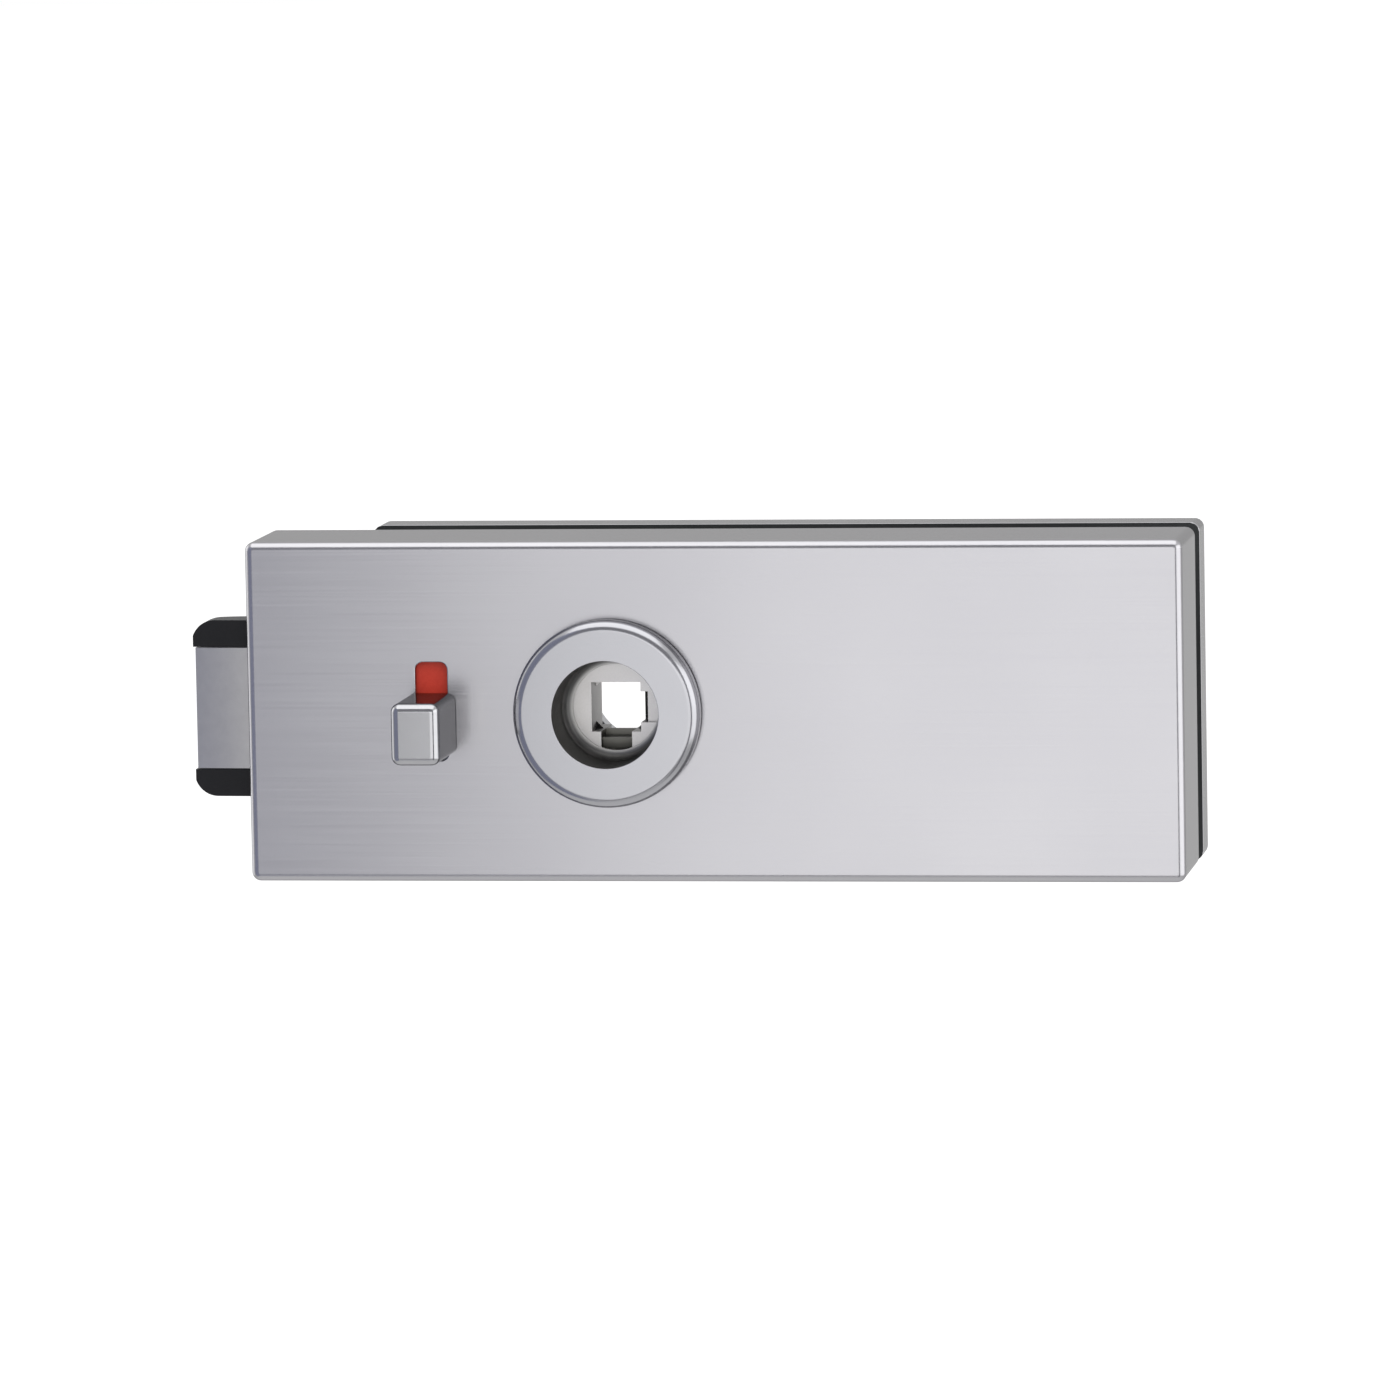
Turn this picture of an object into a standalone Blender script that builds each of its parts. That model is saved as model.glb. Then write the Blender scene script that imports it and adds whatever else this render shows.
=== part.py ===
"""Patch lock for a toughened glass door: spring latch, thumb slide, follower, covers and clamps.

All lengths are metres. Places are given in the lock's own frame (x, d, z): x runs along the
case, d is the depth behind the front face of the case, z is the height above its mid line.
The latch points to -x. The finished part stands with its origin at the bottom centre.
"""
import math

import bmesh
import bpy
from mathutils import Vector

# Glass and clearances
GLASS_THICKNESS = 0.008
PAD_THICKNESS = 0.0005
SEAT_GAP = 0.0003
RUN_GAP = 0.0003
OVERRUN = 0.002
WELD = 0.0005

# Front case
CASE_LENGTH = 0.193
CASE_HEIGHT = 0.070
CASE_DEPTH = 0.027
CASE_WALL = 0.0022
CASE_FRONT_WALL = 0.0025
CASE_CORNER = 0.0019
CASE_EDGE = 0.0017
CAVITY_CORNER = 0.001

# Back cover
COVER_SETBACK = 0.0205
COVER_DEPTH = 0.0115
COVER_WALL = 0.0016
COVER_BACK_WALL = 0.002
COVER_EDGE = 0.0015

# Plates and gaskets
BASE_PLATE_THICKNESS = 0.003
BACK_PLATE_THICKNESS = 0.003
FRONT_GASKET_THICKNESS = 0.001
BASE_SPINDLE_HOLE_R = 0.0095
GASKET_SPINDLE_HOLE_R = 0.0105
BACK_SPINDLE_HOLE_R = 0.0112

# Follower axis, measured from the latch end of the case
SPINDLE_FROM_LATCH_END = 0.0752
SPINDLE_HOLE = 0.0102
WEB_FRONT_DEPTH = 0.006
WEB_THICKNESS = 0.001
WEB_CHAMFER = 0.0015
GROOVE_WIDTH = 0.0064
GROOVE_REACH = 0.0064
FACE_RECESS_DEPTH = 0.0013

# Follower
HUB_JOURNAL_R = 0.0088
HUB_FACE_DEPTH = 0.0095
HUB_FLANGE_R = 0.013
HUB_FLANGE_FRONT = 0.0131
HUB_SWING_DEG = 40.0
ARM_WIDTH = 0.007
ARM_FRONT = 0.0134
ARM_THICKNESS = 0.0027
FLANGE_BEHIND_ARM = 0.0004
BUSH_BEHIND_FLANGE = 0.0011
DRIVE_PIN_R = 0.0025
DRIVE_PIN_SHANK_R = 0.0015
EAR_RADIUS = 0.0195
EAR_WIDTH = 0.0044

# Bushes of the follower
FRONT_BUSH_FRONT = 0.0099
FRONT_BUSH_BACK = 0.0127
BUSH_WALL = 0.002
BOSS_WALL = 0.0028

# Roses
ROSE_R = 0.01925
ROSE_PROUD = 0.0052
ROSE_EDGE = 0.0021
ROSE_FOOT_INSET = 0.00035
ROSE_FOOT_HEIGHT = 0.0006
ROSE_BORE_R = 0.01105
ROSE_SLEEVE_WALL = 0.0021
ROSE_BORE_EDGE = 0.0002
ROSE_LIP = 0.0004
BACK_ROSE_PROUD = 0.002
BACK_ROSE_EDGE = 0.0006
BACK_SPIGOT_R = 0.013
BACK_SPIGOT_LENGTH = 0.003

# Latch
LATCH_REACH = 0.0127
LATCH_LENGTH = 0.0292
LATCH_HEIGHT = 0.0365
LATCH_THICKNESS = 0.008
LATCH_FRONT = 0.0075
LATCH_CAP_HEIGHT = 0.00575
LATCH_CORE_SETBACK = 0.00045
LATCH_CORE_SINK = 0.0003
LATCH_NOSE_LENGTH = 0.014
LATCH_NOSE_DROP = 0.0006
LATCH_BEVEL_LENGTH = 0.010
LATCH_BEVEL_DROP = 0.005
LATCH_CAP_CORNER = 0.005
LATCH_CAP_CORNER_CUT = 0.0003
LATCH_SEAM = 0.0002
LATCH_RUN_GAP = 0.00035

# Tail of the latch
TAIL_FRONT = 0.0105
TAIL_THICKNESS = 0.002
TAIL_STRIP_HEIGHT = 0.008
TAIL_BELOW_CORE_TOP = 0.0005
TAIL_BAR = 0.003
TAIL_TOP_BAR = 0.0022
TAIL_OVER_SLEEVE = 0.0006
TAIL_END_BAR = 0.0060
TAIL_LEFT_BAR = 0.0025
TAIL_SEAT = 0.0040
TAB_BEHIND_LATCH = 0.016
TAB_WIDTH = 0.002
TAB_HEIGHT = 0.003
TAB_REACH = 0.003
TAIL_PIN_R = 0.0008
TAIL_PIN_INSET = 0.002
TAIL_PIN_SPACING = 0.004

# Latch guide
GUIDE_WALL = 0.0034
GUIDE_FRONT_WALL = 0.0022
GUIDE_LENGTH = 0.0278
GUIDE_END_GAP = 0.0005

# Latch springs
SPRING_POST_WIDTH = 0.0037
POST_BEHIND_FRAME = 0.0009
SPRING_POST_FRONT = 0.008
SPRING_POST_MARGIN = 0.0025
LATCH_SPRING_R = 0.0022
LATCH_SPRING_WIRE_R = 0.00035
LATCH_SPRING_TURNS = 9
SPRING_PEG_R = 0.0012
SPRING_PEG_LENGTH = 0.006

# Return spring of the follower
RETURN_SPRING_Z = -0.018
RETURN_SPRING_R = 0.0026
RETURN_SPRING_WIRE_R = 0.00045
RETURN_SPRING_TURNS = 8

# Snib: knob, slider and indicators
SNIB_FROM_LATCH_END = 0.0385
KNOB_WIDTH = 0.010
KNOB_LOW = -0.00865
KNOB_HIGH = 0.0040
KNOB_REACH = 0.0205
KNOB_CORNER = 0.0016
KNOB_EDGE = 0.00155
KNOB_FOOT_GAP = 0.0004
STEM_WIDTH = 0.0056
STEM_INSET = 0.0006
SNIB_TRAVEL = 0.00465
SLOT_WIDTH = 0.0066
SLOT_HALF_LENGTH = 0.0103
SLOT_CORNER = 0.0016
POCKET_FLOOR = 0.0012
POCKET_WIDTH = 0.0129
POCKET_HALF_LENGTH = 0.0175
SLIDER_WIDTH = 0.0109
SLIDER_LOW = -0.016
SLIDER_HIGH = 0.0115
SLIDER_THICKNESS = 0.0018
INDICATOR_THICKNESS = 0.0007
INDICATOR_WIDTH = 0.0088
RED_LOW = 0.0036
RED_HIGH = 0.0110
GREEN_LOW = -0.0156
GREEN_HIGH = -0.0105
TOOTH_WIDTH = 0.0025
TOOTH_SIDE_PLAY = 0.0005
TOOTH_TIP_GAP = 0.0004
SNIB_SCREW_R = 0.0013
SNIB_SCREW_HEAD_R = 0.0023
SNIB_SCREW_LENGTH = 0.010

# Track of the slider
TRACK_THICKNESS = 0.0016
TRACK_RAIL_WIDTH = 0.0017
TRACK_HALF_LENGTH = 0.0195
TRACK_TAB_WIDTH = 0.008
TRACK_TAB_LENGTH = 0.0055
TRACK_SCREW_Z = 0.022
TRACK_SCREW_R = 0.00125
TRACK_SCREW_HEAD_R = 0.0022
TRACK_SCREW_HEAD = 0.0014
TRACK_SCREW_SKIN = 0.001
WINDOW_MARGIN = 0.0007

# Detent of the slider
DETENT_FROM_SNIB = 0.0026
DETENT_Z = 0.0105
DETENT_BALL_R = 0.001
DETENT_PROUD = 0.0001
DETENT_CUP_R = 0.0022
DETENT_CUP_LENGTH = 0.0033
DETENT_CUP_FLOOR = 0.0005
DETENT_SPRING_R = 0.0007
DETENT_SPRING_WIRE_R = 0.00015
DETENT_SPRING_TURNS = 2
DIMPLE_R = 0.0008
DIMPLE_DEPTH = 0.0003

# Emergency release
RELEASE_LEFT_OF_SNIB = 0.001
RELEASE_Z = -0.006
RELEASE_SPINDLE_R = 0.003
RELEASE_TURN_DEG = 60.0
CRANK_FRONT = 0.0083
CRANK_THICKNESS = 0.002
CRANK_HALF_WIDTH = 0.0019
CRANK_PIN_R = 0.001
CRANK_PIN_LENGTH = 0.0028
FORK_BAR_THICKNESS = 0.0015
FORK_BAR_LEFT = 0.0015
FORK_BAR_WIDTH = 0.0035
RELEASE_BUSH_WALL = 0.0019
RELEASE_BUSH_LENGTH = 0.0068
DISC_R = 0.006
DISC_FLANGE_R = 0.0075
DISC_FLANGE = 0.0018
DISC_PROUD = 0.0005
DISC_EDGE = 0.0004
COIN_SLOT_WIDTH = 0.0016
COIN_SLOT_LENGTH = 0.0084
COIN_SLOT_DEPTH = 0.0012
SPINDLE_TANG = 0.0023

# Screws through the glass
CLAMP_FROM_LATCH_END = 0.0365
CLAMP_FROM_FAR_END = 0.0145
CLAMP_FROM_EDGE = 0.011
CLAMP_SHANK_R = 0.0025
CLAMP_HEAD_R = 0.0046
CLAMP_HEAD = 0.0025
CLAMP_SOCKET_R = 0.0021
CLAMP_SOCKET_DEPTH = 0.0015
CLAMP_LENGTH = 0.0206
GLASS_BUSH_R = 0.006
BACK_BOSS_R = 0.0045
BACK_BOSS_LENGTH = 0.0047

# Grub screws under case and cover
GRUB_R = 0.0015
GRUB_LENGTH = 0.0056
GRUB_RECESS = 0.0006
GRUB_SOCKET_R = 0.0008
GRUB_SOCKET_DEPTH = 0.0012
CASE_GRUB_FROM_END = 0.0265
COVER_GRUB_FROM_LEFT = 0.036
COVER_GRUB_FROM_FAR_END = 0.0285
LUG_WIDTH = 0.008
LUG_HEIGHT = 0.004
CASE_LUG_LENGTH = 0.008
COVER_LUG_LENGTH = 0.0046

# Counts of facets
ROUND_SIDES = 40
SMALL_SIDES = 16
TINY_SIDES = 12
CORNER_STEPS = 3
EDGE_STEPS = 3
NOSE_STEPS = 8
SPRING_POINTS_PER_TURN = 8
SPRING_SIDES = 6

# Places that follow from the sizes above
HALF_LENGTH = CASE_LENGTH / 2
HALF_HEIGHT = CASE_HEIGHT / 2
LATCH_END = -HALF_LENGTH
FAR_END = HALF_LENGTH
GLASS_GAP = GLASS_THICKNESS + 2 * PAD_THICKNESS
COVER_FRONT = CASE_DEPTH + GLASS_GAP
COVER_BACK = COVER_FRONT + COVER_DEPTH
SPINDLE_X = LATCH_END + SPINDLE_FROM_LATCH_END
SNIB_X = LATCH_END + SNIB_FROM_LATCH_END
REST_SWING = math.radians(HUB_SWING_DEG) / 2
FRONT_BUSH_R = HUB_JOURNAL_R + RUN_GAP + BUSH_WALL
SLEEVE_R = FRONT_BUSH_R + SEAT_GAP + ROSE_SLEEVE_WALL
PIN_SWEEP = DRIVE_PIN_R + RUN_GAP
PIN_Z = SLEEVE_R + TAIL_OVER_SLEEVE + TAIL_BAR + PIN_SWEEP
ARM_RADIUS = PIN_Z / math.cos(REST_SWING)
LATCH_TRAVEL = 2 * ARM_RADIUS * math.sin(REST_SWING)
LATCH_TIP = LATCH_END - LATCH_REACH
LATCH_BACK = LATCH_TIP + LATCH_LENGTH
REAR_END = COVER_BACK + BACK_ROSE_PROUD
MID_X = (LATCH_TIP + FAR_END) / 2
MID_D = (REAR_END - KNOB_REACH) / 2

FRONT_GASKET_BACK = CASE_DEPTH + PAD_THICKNESS
FRONT_GASKET_FRONT = FRONT_GASKET_BACK - FRONT_GASKET_THICKNESS
BASE_BACK = FRONT_GASKET_FRONT - SEAT_GAP
BASE_FRONT = BASE_BACK - BASE_PLATE_THICKNESS
BACK_GASKET_FRONT = COVER_FRONT - PAD_THICKNESS
BACK_PLATE_FRONT = COVER_FRONT + SEAT_GAP
BACK_PLATE_BACK = BACK_PLATE_FRONT + BACK_PLATE_THICKNESS
COVER_LEFT = LATCH_END + COVER_SETBACK
INNER_LENGTH = HALF_LENGTH - CASE_WALL - SEAT_GAP
INNER_HEIGHT = HALF_HEIGHT - CASE_WALL - SEAT_GAP
COVER_INNER_HEIGHT = HALF_HEIGHT - COVER_WALL - SEAT_GAP

SLIDER_FRONT = POCKET_FLOOR + SEAT_GAP + INDICATOR_THICKNESS + SEAT_GAP
SLIDER_BACK = SLIDER_FRONT + SLIDER_THICKNESS
TRACK_FRONT = SLIDER_BACK + RUN_GAP
TRACK_BACK = TRACK_FRONT + TRACK_THICKNESS
PIN_X = SPINDLE_X - ARM_RADIUS * math.sin(REST_SWING)
RELEASE_X = SNIB_X - RELEASE_LEFT_OF_SNIB
CRANK_HALF_TURN = math.radians(RELEASE_TURN_DEG) / 2
CRANK_RADIUS = SNIB_TRAVEL / (2 * math.sin(CRANK_HALF_TURN))
CRANK_PIN_X = RELEASE_X + CRANK_RADIUS * math.cos(CRANK_HALF_TURN)
CRANK_PIN_Z = RELEASE_Z - CRANK_RADIUS * math.sin(CRANK_HALF_TURN)
TAB_LEFT = LATCH_BACK + TAB_BEHIND_LATCH
TOOTH_LEFT = TAB_LEFT + TAB_WIDTH + TOOTH_SIDE_PLAY
FRAME_LEFT = PIN_X - PIN_SWEEP - LATCH_TRAVEL - TAIL_LEFT_BAR
POST_RIGHT = FRAME_LEFT - POST_BEHIND_FRAME
POST_LEFT = POST_RIGHT - SPRING_POST_WIDTH
LATCH_SPRING_Z = (LATCH_HEIGHT - LATCH_CAP_HEIGHT) / 2
LATCH_CORE_HALF = LATCH_HEIGHT / 2 - LATCH_CAP_HEIGHT
TAIL_STRIP_HIGH = LATCH_CORE_HALF - TAIL_BELOW_CORE_TOP
TAIL_STRIP_LOW = TAIL_STRIP_HIGH - TAIL_STRIP_HEIGHT
SPRING_POST_LOW = LATCH_SPRING_Z - SPRING_POST_MARGIN
SPRING_POST_HIGH = SPRING_POST_MARGIN - RETURN_SPRING_Z
LATCH_MID_D = LATCH_FRONT + LATCH_THICKNESS / 2
HUB_FLANGE_BACK = ARM_FRONT + ARM_THICKNESS + FLANGE_BEHIND_ARM
BACK_BUSH_FRONT = HUB_FLANGE_BACK + BUSH_BEHIND_FLANGE
BACK_BUSH_R = FRONT_BUSH_R
BOSS_R = BACK_BUSH_R + SEAT_GAP + BOSS_WALL
CLAMP_Z = HALF_HEIGHT - CLAMP_FROM_EDGE
CLAMP_PLACES = [
    (x, z)
    for x in (LATCH_END + CLAMP_FROM_LATCH_END, FAR_END - CLAMP_FROM_FAR_END)
    for z in (-CLAMP_Z, CLAMP_Z)
]
CASE_GRUB_X = HALF_LENGTH - CASE_GRUB_FROM_END
COVER_GRUB_LEFT_X = COVER_LEFT + COVER_GRUB_FROM_LEFT
COVER_GRUB_RIGHT_X = FAR_END - COVER_GRUB_FROM_FAR_END
CASE_LUG_D = BASE_FRONT - CASE_LUG_LENGTH / 2
COVER_LUG_D = BACK_PLATE_BACK + COVER_LUG_LENGTH / 2


def clear_scene():
    for obj in list(bpy.data.objects):
        bpy.data.objects.remove(obj, do_unlink=True)


def to_world(point):
    """Lock frame (x, d, z) to world metres, with the bottom centre of the part as the origin."""
    x, d, z = point
    return Vector((x - MID_X, d - MID_D, z + HALF_HEIGHT))


# Finishes of the pieces
def finish(name, colour, roughness, metallic):
    """One Principled material from a plain sRGB-like colour, made linear here."""
    mat = bpy.data.materials.get(name)
    if mat is None:
        mat = bpy.data.materials.new(name)
        mat.use_nodes = True
        shader = mat.node_tree.nodes["Principled BSDF"]
        linear = [channel ** 2.2 for channel in colour]
        shader.inputs["Base Color"].default_value = (*linear, 1.0)
        shader.inputs["Roughness"].default_value = roughness
        shader.inputs["Metallic"].default_value = metallic
    return mat


def satin_case():
    return finish("satin_case", (0.78, 0.78, 0.80), 0.34, 1.0)


def satin_rose():
    return finish("satin_rose", (0.80, 0.80, 0.81), 0.28, 1.0)


def cast_zinc():
    return finish("cast_zinc", (0.70, 0.70, 0.70), 0.42, 1.0)


def steel():
    return finish("steel", (0.62, 0.63, 0.65), 0.35, 1.0)


def spring_wire():
    return finish("spring_wire", (0.50, 0.50, 0.52), 0.3, 1.0)


def black_plastic():
    return finish("black_plastic", (0.16, 0.16, 0.17), 0.4, 0.0)


def white_plastic():
    return finish("white_plastic", (0.86, 0.86, 0.84), 0.45, 0.0)


def gasket_rubber():
    return finish("gasket_rubber", (0.17, 0.18, 0.18), 0.7, 0.0)


def red_paint():
    return finish("red_paint", (0.72, 0.20, 0.16), 0.4, 0.0)


def green_paint():
    return finish("green_paint", (0.16, 0.52, 0.27), 0.4, 0.0)


# Rings of points, which the solids are lofted through
def circle(centre, radius, sides, axis="d"):
    """Circle round the depth axis d, or round x or z."""
    x, d, z = centre
    ring = []
    for step in range(sides):
        angle = math.tau * step / sides
        u = radius * math.cos(angle)
        v = radius * math.sin(angle)
        if axis == "d":
            ring.append((x + u, d, z + v))
        elif axis == "x":
            ring.append((x, d + u, z + v))
        else:
            ring.append((x + u, d + v, z))
    return ring


def rounded_rect(x_span, z_span, d, radius):
    """Rectangle in the plane of the case's face, with round corners."""
    low_x, high_x = x_span
    low_z, high_z = z_span
    centres = [
        (high_x - radius, high_z - radius),
        (low_x + radius, high_z - radius),
        (low_x + radius, low_z + radius),
        (high_x - radius, low_z + radius),
    ]
    ring = []
    for quarter, (centre_x, centre_z) in enumerate(centres):
        for step in range(CORNER_STEPS + 1):
            angle = math.pi / 2 * (quarter + step / CORNER_STEPS)
            x = centre_x + radius * math.cos(angle)
            z = centre_z + radius * math.sin(angle)
            ring.append((x, d, z))
    return ring


def at_depth(outline, d):
    """Ring from a list of (x, z) points."""
    return [(x, d, z) for x, z in outline]


def stadium(start, end, half_width):
    """Outline of a bar with round ends between two (x, z) points."""
    heading = math.atan2(end[1] - start[1], end[0] - start[0])
    outline = []
    for centre, turn in ((end, heading), (start, heading + math.pi)):
        for step in range(2 * EDGE_STEPS + 1):
            angle = turn - math.pi / 2 + math.pi * step / (2 * EDGE_STEPS)
            x = centre[0] + half_width * math.cos(angle)
            z = centre[1] + half_width * math.sin(angle)
            outline.append((x, z))
    return outline


# Solids
def loft(name, rings, material, origin=None, parent=None, closed=False):
    """Closed solid through rings of equal counts, capped at both ends or joined in a cycle."""
    origin = Vector((0, 0, 0)) if origin is None else origin
    bm = bmesh.new()
    loops = []
    for ring in rings:
        loops.append([bm.verts.new(to_world(point) - origin) for point in ring])
    pairs = list(zip(loops, loops[1:]))
    if closed:
        pairs.append((loops[-1], loops[0]))
    count = len(loops[0])
    for near, far in pairs:
        for i in range(count):
            j = (i + 1) % count
            bm.faces.new((near[i], near[j], far[j], far[i]))
    if not closed:
        bm.faces.new(loops[0])
        bm.faces.new(loops[-1])
    bmesh.ops.recalc_face_normals(bm, faces=bm.faces)
    mesh = bpy.data.meshes.new(name)
    bm.to_mesh(mesh)
    bm.free()
    mesh.materials.append(material)
    mesh.shade_smooth()
    mesh.set_sharp_from_angle(angle=math.radians(35))
    obj = bpy.data.objects.new(name, mesh)
    bpy.context.scene.collection.objects.link(obj)
    if parent is None:
        obj.location = origin
    else:
        obj.parent = parent
        obj.location = origin - parent.location
    return obj


def block(name, x_span, d_span, z_span, material, origin=None, parent=None):
    """Plain box between two places on each axis."""
    outline = [
        (x_span[0], z_span[0]),
        (x_span[1], z_span[0]),
        (x_span[1], z_span[1]),
        (x_span[0], z_span[1]),
    ]
    rings = [at_depth(outline, d) for d in d_span]
    return loft(name, rings, material, origin, parent)


def cylinder(
    name, centre, radius, span, material, sides=SMALL_SIDES, axis="d", origin=None, parent=None
):
    """Cylinder along one axis of the lock frame; span gives its two ends on that axis."""
    rings = []
    for end in span:
        x, d, z = centre
        if axis == "d":
            place = (x, end, z)
        elif axis == "x":
            place = (end, d, z)
        else:
            place = (x, d, end)
        rings.append(circle(place, radius, sides, axis))
    return loft(name, rings, material, origin, parent)


def turned(name, centre_x, centre_z, profile, material, sides, closed, origin=None, parent=None):
    """Piece turned round a line through (x, z) along the depth; profile holds (radius, d)."""
    rings = [circle((centre_x, d, centre_z), radius, sides) for radius, d in profile]
    return loft(name, rings, material, origin, parent, closed)


def combine(target, operand, operation):
    """Boolean of a hidden operand on its target."""
    operand.hide_render = True
    operand.display_type = "WIRE"
    modifier = target.modifiers.new(operand.name, "BOOLEAN")
    modifier.operation = operation
    modifier.solver = "EXACT"
    modifier.object = operand


def cut(target, *operands):
    for operand in operands:
        combine(target, operand, "DIFFERENCE")


def add(target, *operands):
    for operand in operands:
        combine(target, operand, "UNION")


def round_hole(name, x, z, radius, span, sides=SMALL_SIDES):
    return cylinder(name, (x, 0, z), radius, span, steel(), sides)


def upright_hole(name, x, d, radius, span):
    return cylinder(name, (x, d, 0), radius, span, steel(), TINY_SIDES, "z")


def axis_empty(name, place):
    empty = bpy.data.objects.new(name, None)
    empty.location = to_world(place)
    bpy.context.scene.collection.objects.link(empty)
    return empty


# Front case
def make_front_case():
    span_x = (LATCH_END, FAR_END)
    rings = []
    for step in range(EDGE_STEPS + 1):
        angle = math.pi / 2 * step / EDGE_STEPS
        inset = CASE_EDGE * (1 - math.sin(angle))
        depth = CASE_EDGE * (1 - math.cos(angle))
        rings.append(case_ring(span_x, depth, inset, CASE_CORNER))
    rings.append(case_ring(span_x, CASE_DEPTH, 0, CASE_CORNER))
    case = loft("front_case", rings, satin_case())
    cavity_x = (LATCH_END + CASE_WALL, FAR_END - CASE_WALL)
    cavity_z = (-HALF_HEIGHT + CASE_WALL, HALF_HEIGHT - CASE_WALL)
    cavity_rings = [
        rounded_rect(cavity_x, cavity_z, CASE_FRONT_WALL, CAVITY_CORNER),
        rounded_rect(cavity_x, cavity_z, CASE_DEPTH + OVERRUN, CAVITY_CORNER),
    ]
    cut(case, loft("cut_case_cavity", cavity_rings, steel()))
    half_pocket = POCKET_WIDTH / 2
    pocket_x = (SNIB_X - half_pocket, SNIB_X + half_pocket)
    pocket_z = (-POCKET_HALF_LENGTH, POCKET_HALF_LENGTH)
    pocket_d = (POCKET_FLOOR, CASE_FRONT_WALL + OVERRUN)
    pocket = block("cut_case_pocket", pocket_x, pocket_d, pocket_z, steel())
    slot_x = (SNIB_X - SLOT_WIDTH / 2, SNIB_X + SLOT_WIDTH / 2)
    slot_z = (-SLOT_HALF_LENGTH, SLOT_HALF_LENGTH)
    slot_rings = [
        rounded_rect(slot_x, slot_z, -OVERRUN, SLOT_CORNER),
        rounded_rect(slot_x, slot_z, POCKET_FLOOR + OVERRUN, SLOT_CORNER),
    ]
    slot = loft("cut_case_slot", slot_rings, steel())
    bore_r = SLEEVE_R + SEAT_GAP
    bore_span = (-OVERRUN, CASE_FRONT_WALL + OVERRUN)
    bore = round_hole("cut_case_rose_bore", SPINDLE_X, 0, bore_r, bore_span, ROUND_SIDES)
    mouth_z = LATCH_HEIGHT / 2 + LATCH_RUN_GAP
    mouth_d = (LATCH_FRONT - LATCH_RUN_GAP, LATCH_FRONT + LATCH_THICKNESS + LATCH_RUN_GAP)
    mouth_x = (LATCH_END - OVERRUN, LATCH_END + CASE_WALL + OVERRUN)
    mouth = block("cut_case_latch_mouth", mouth_x, mouth_d, (-mouth_z, mouth_z), steel())
    cut(case, pocket, slot, bore, mouth)
    floor_span = (-HALF_HEIGHT - OVERRUN, -HALF_HEIGHT + CASE_WALL + OVERRUN)
    for number, x in enumerate((-CASE_GRUB_X, CASE_GRUB_X)):
        name = f"cut_case_grub_{number}"
        cut(case, upright_hole(name, x, CASE_LUG_D, GRUB_R + SEAT_GAP, floor_span))
    for number, z in enumerate((-TRACK_SCREW_Z, TRACK_SCREW_Z)):
        name = f"cut_case_track_screw_{number}"
        span = (TRACK_SCREW_SKIN, CASE_FRONT_WALL + OVERRUN)
        cut(case, round_hole(name, SNIB_X, z, TRACK_SCREW_R + SEAT_GAP, span, TINY_SIDES))


def case_ring(span_x, d, inset, corner):
    """Outline of case or cover, drawn in by an inset."""
    x_span = (span_x[0] + inset, span_x[1] - inset)
    z_span = (-HALF_HEIGHT + inset, HALF_HEIGHT - inset)
    return rounded_rect(x_span, z_span, d, corner - inset)


# Sheets and plates on both sides of the glass
def make_front_gasket():
    span_x = (-INNER_LENGTH, INNER_LENGTH)
    span_z = (-INNER_HEIGHT, INNER_HEIGHT)
    rings = [
        rounded_rect(span_x, span_z, FRONT_GASKET_FRONT, CAVITY_CORNER),
        rounded_rect(span_x, span_z, FRONT_GASKET_BACK, CAVITY_CORNER),
    ]
    gasket = loft("front_gasket", rings, gasket_rubber())
    through = (FRONT_GASKET_FRONT - OVERRUN, FRONT_GASKET_BACK + OVERRUN)
    drill_sheet(gasket, through, GASKET_SPINDLE_HOLE_R)


def make_back_gasket():
    span_x = (COVER_LEFT, FAR_END)
    rings = [
        case_ring(span_x, BACK_GASKET_FRONT, 0, CASE_CORNER),
        case_ring(span_x, COVER_FRONT, 0, CASE_CORNER),
    ]
    gasket = loft("back_gasket", rings, gasket_rubber())
    through = (BACK_GASKET_FRONT - OVERRUN, COVER_FRONT + OVERRUN)
    drill_sheet(gasket, through, BACK_SPINDLE_HOLE_R)


def drill_sheet(sheet, span, spindle_hole_r):
    """Spindle, release and bush holes through a gasket."""
    spindle_name = f"cut_{sheet.name}_spindle"
    holes = [round_hole(spindle_name, SPINDLE_X, 0, spindle_hole_r, span, ROUND_SIDES)]
    release_r = RELEASE_SPINDLE_R + 2 * RUN_GAP
    holes.append(round_hole(f"cut_{sheet.name}_release", RELEASE_X, RELEASE_Z, release_r, span))
    for number, (x, z) in enumerate(CLAMP_PLACES):
        name = f"cut_{sheet.name}_clamp_{number}"
        holes.append(round_hole(name, x, z, GLASS_BUSH_R + SEAT_GAP, span))
    cut(sheet, *holes)


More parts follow.
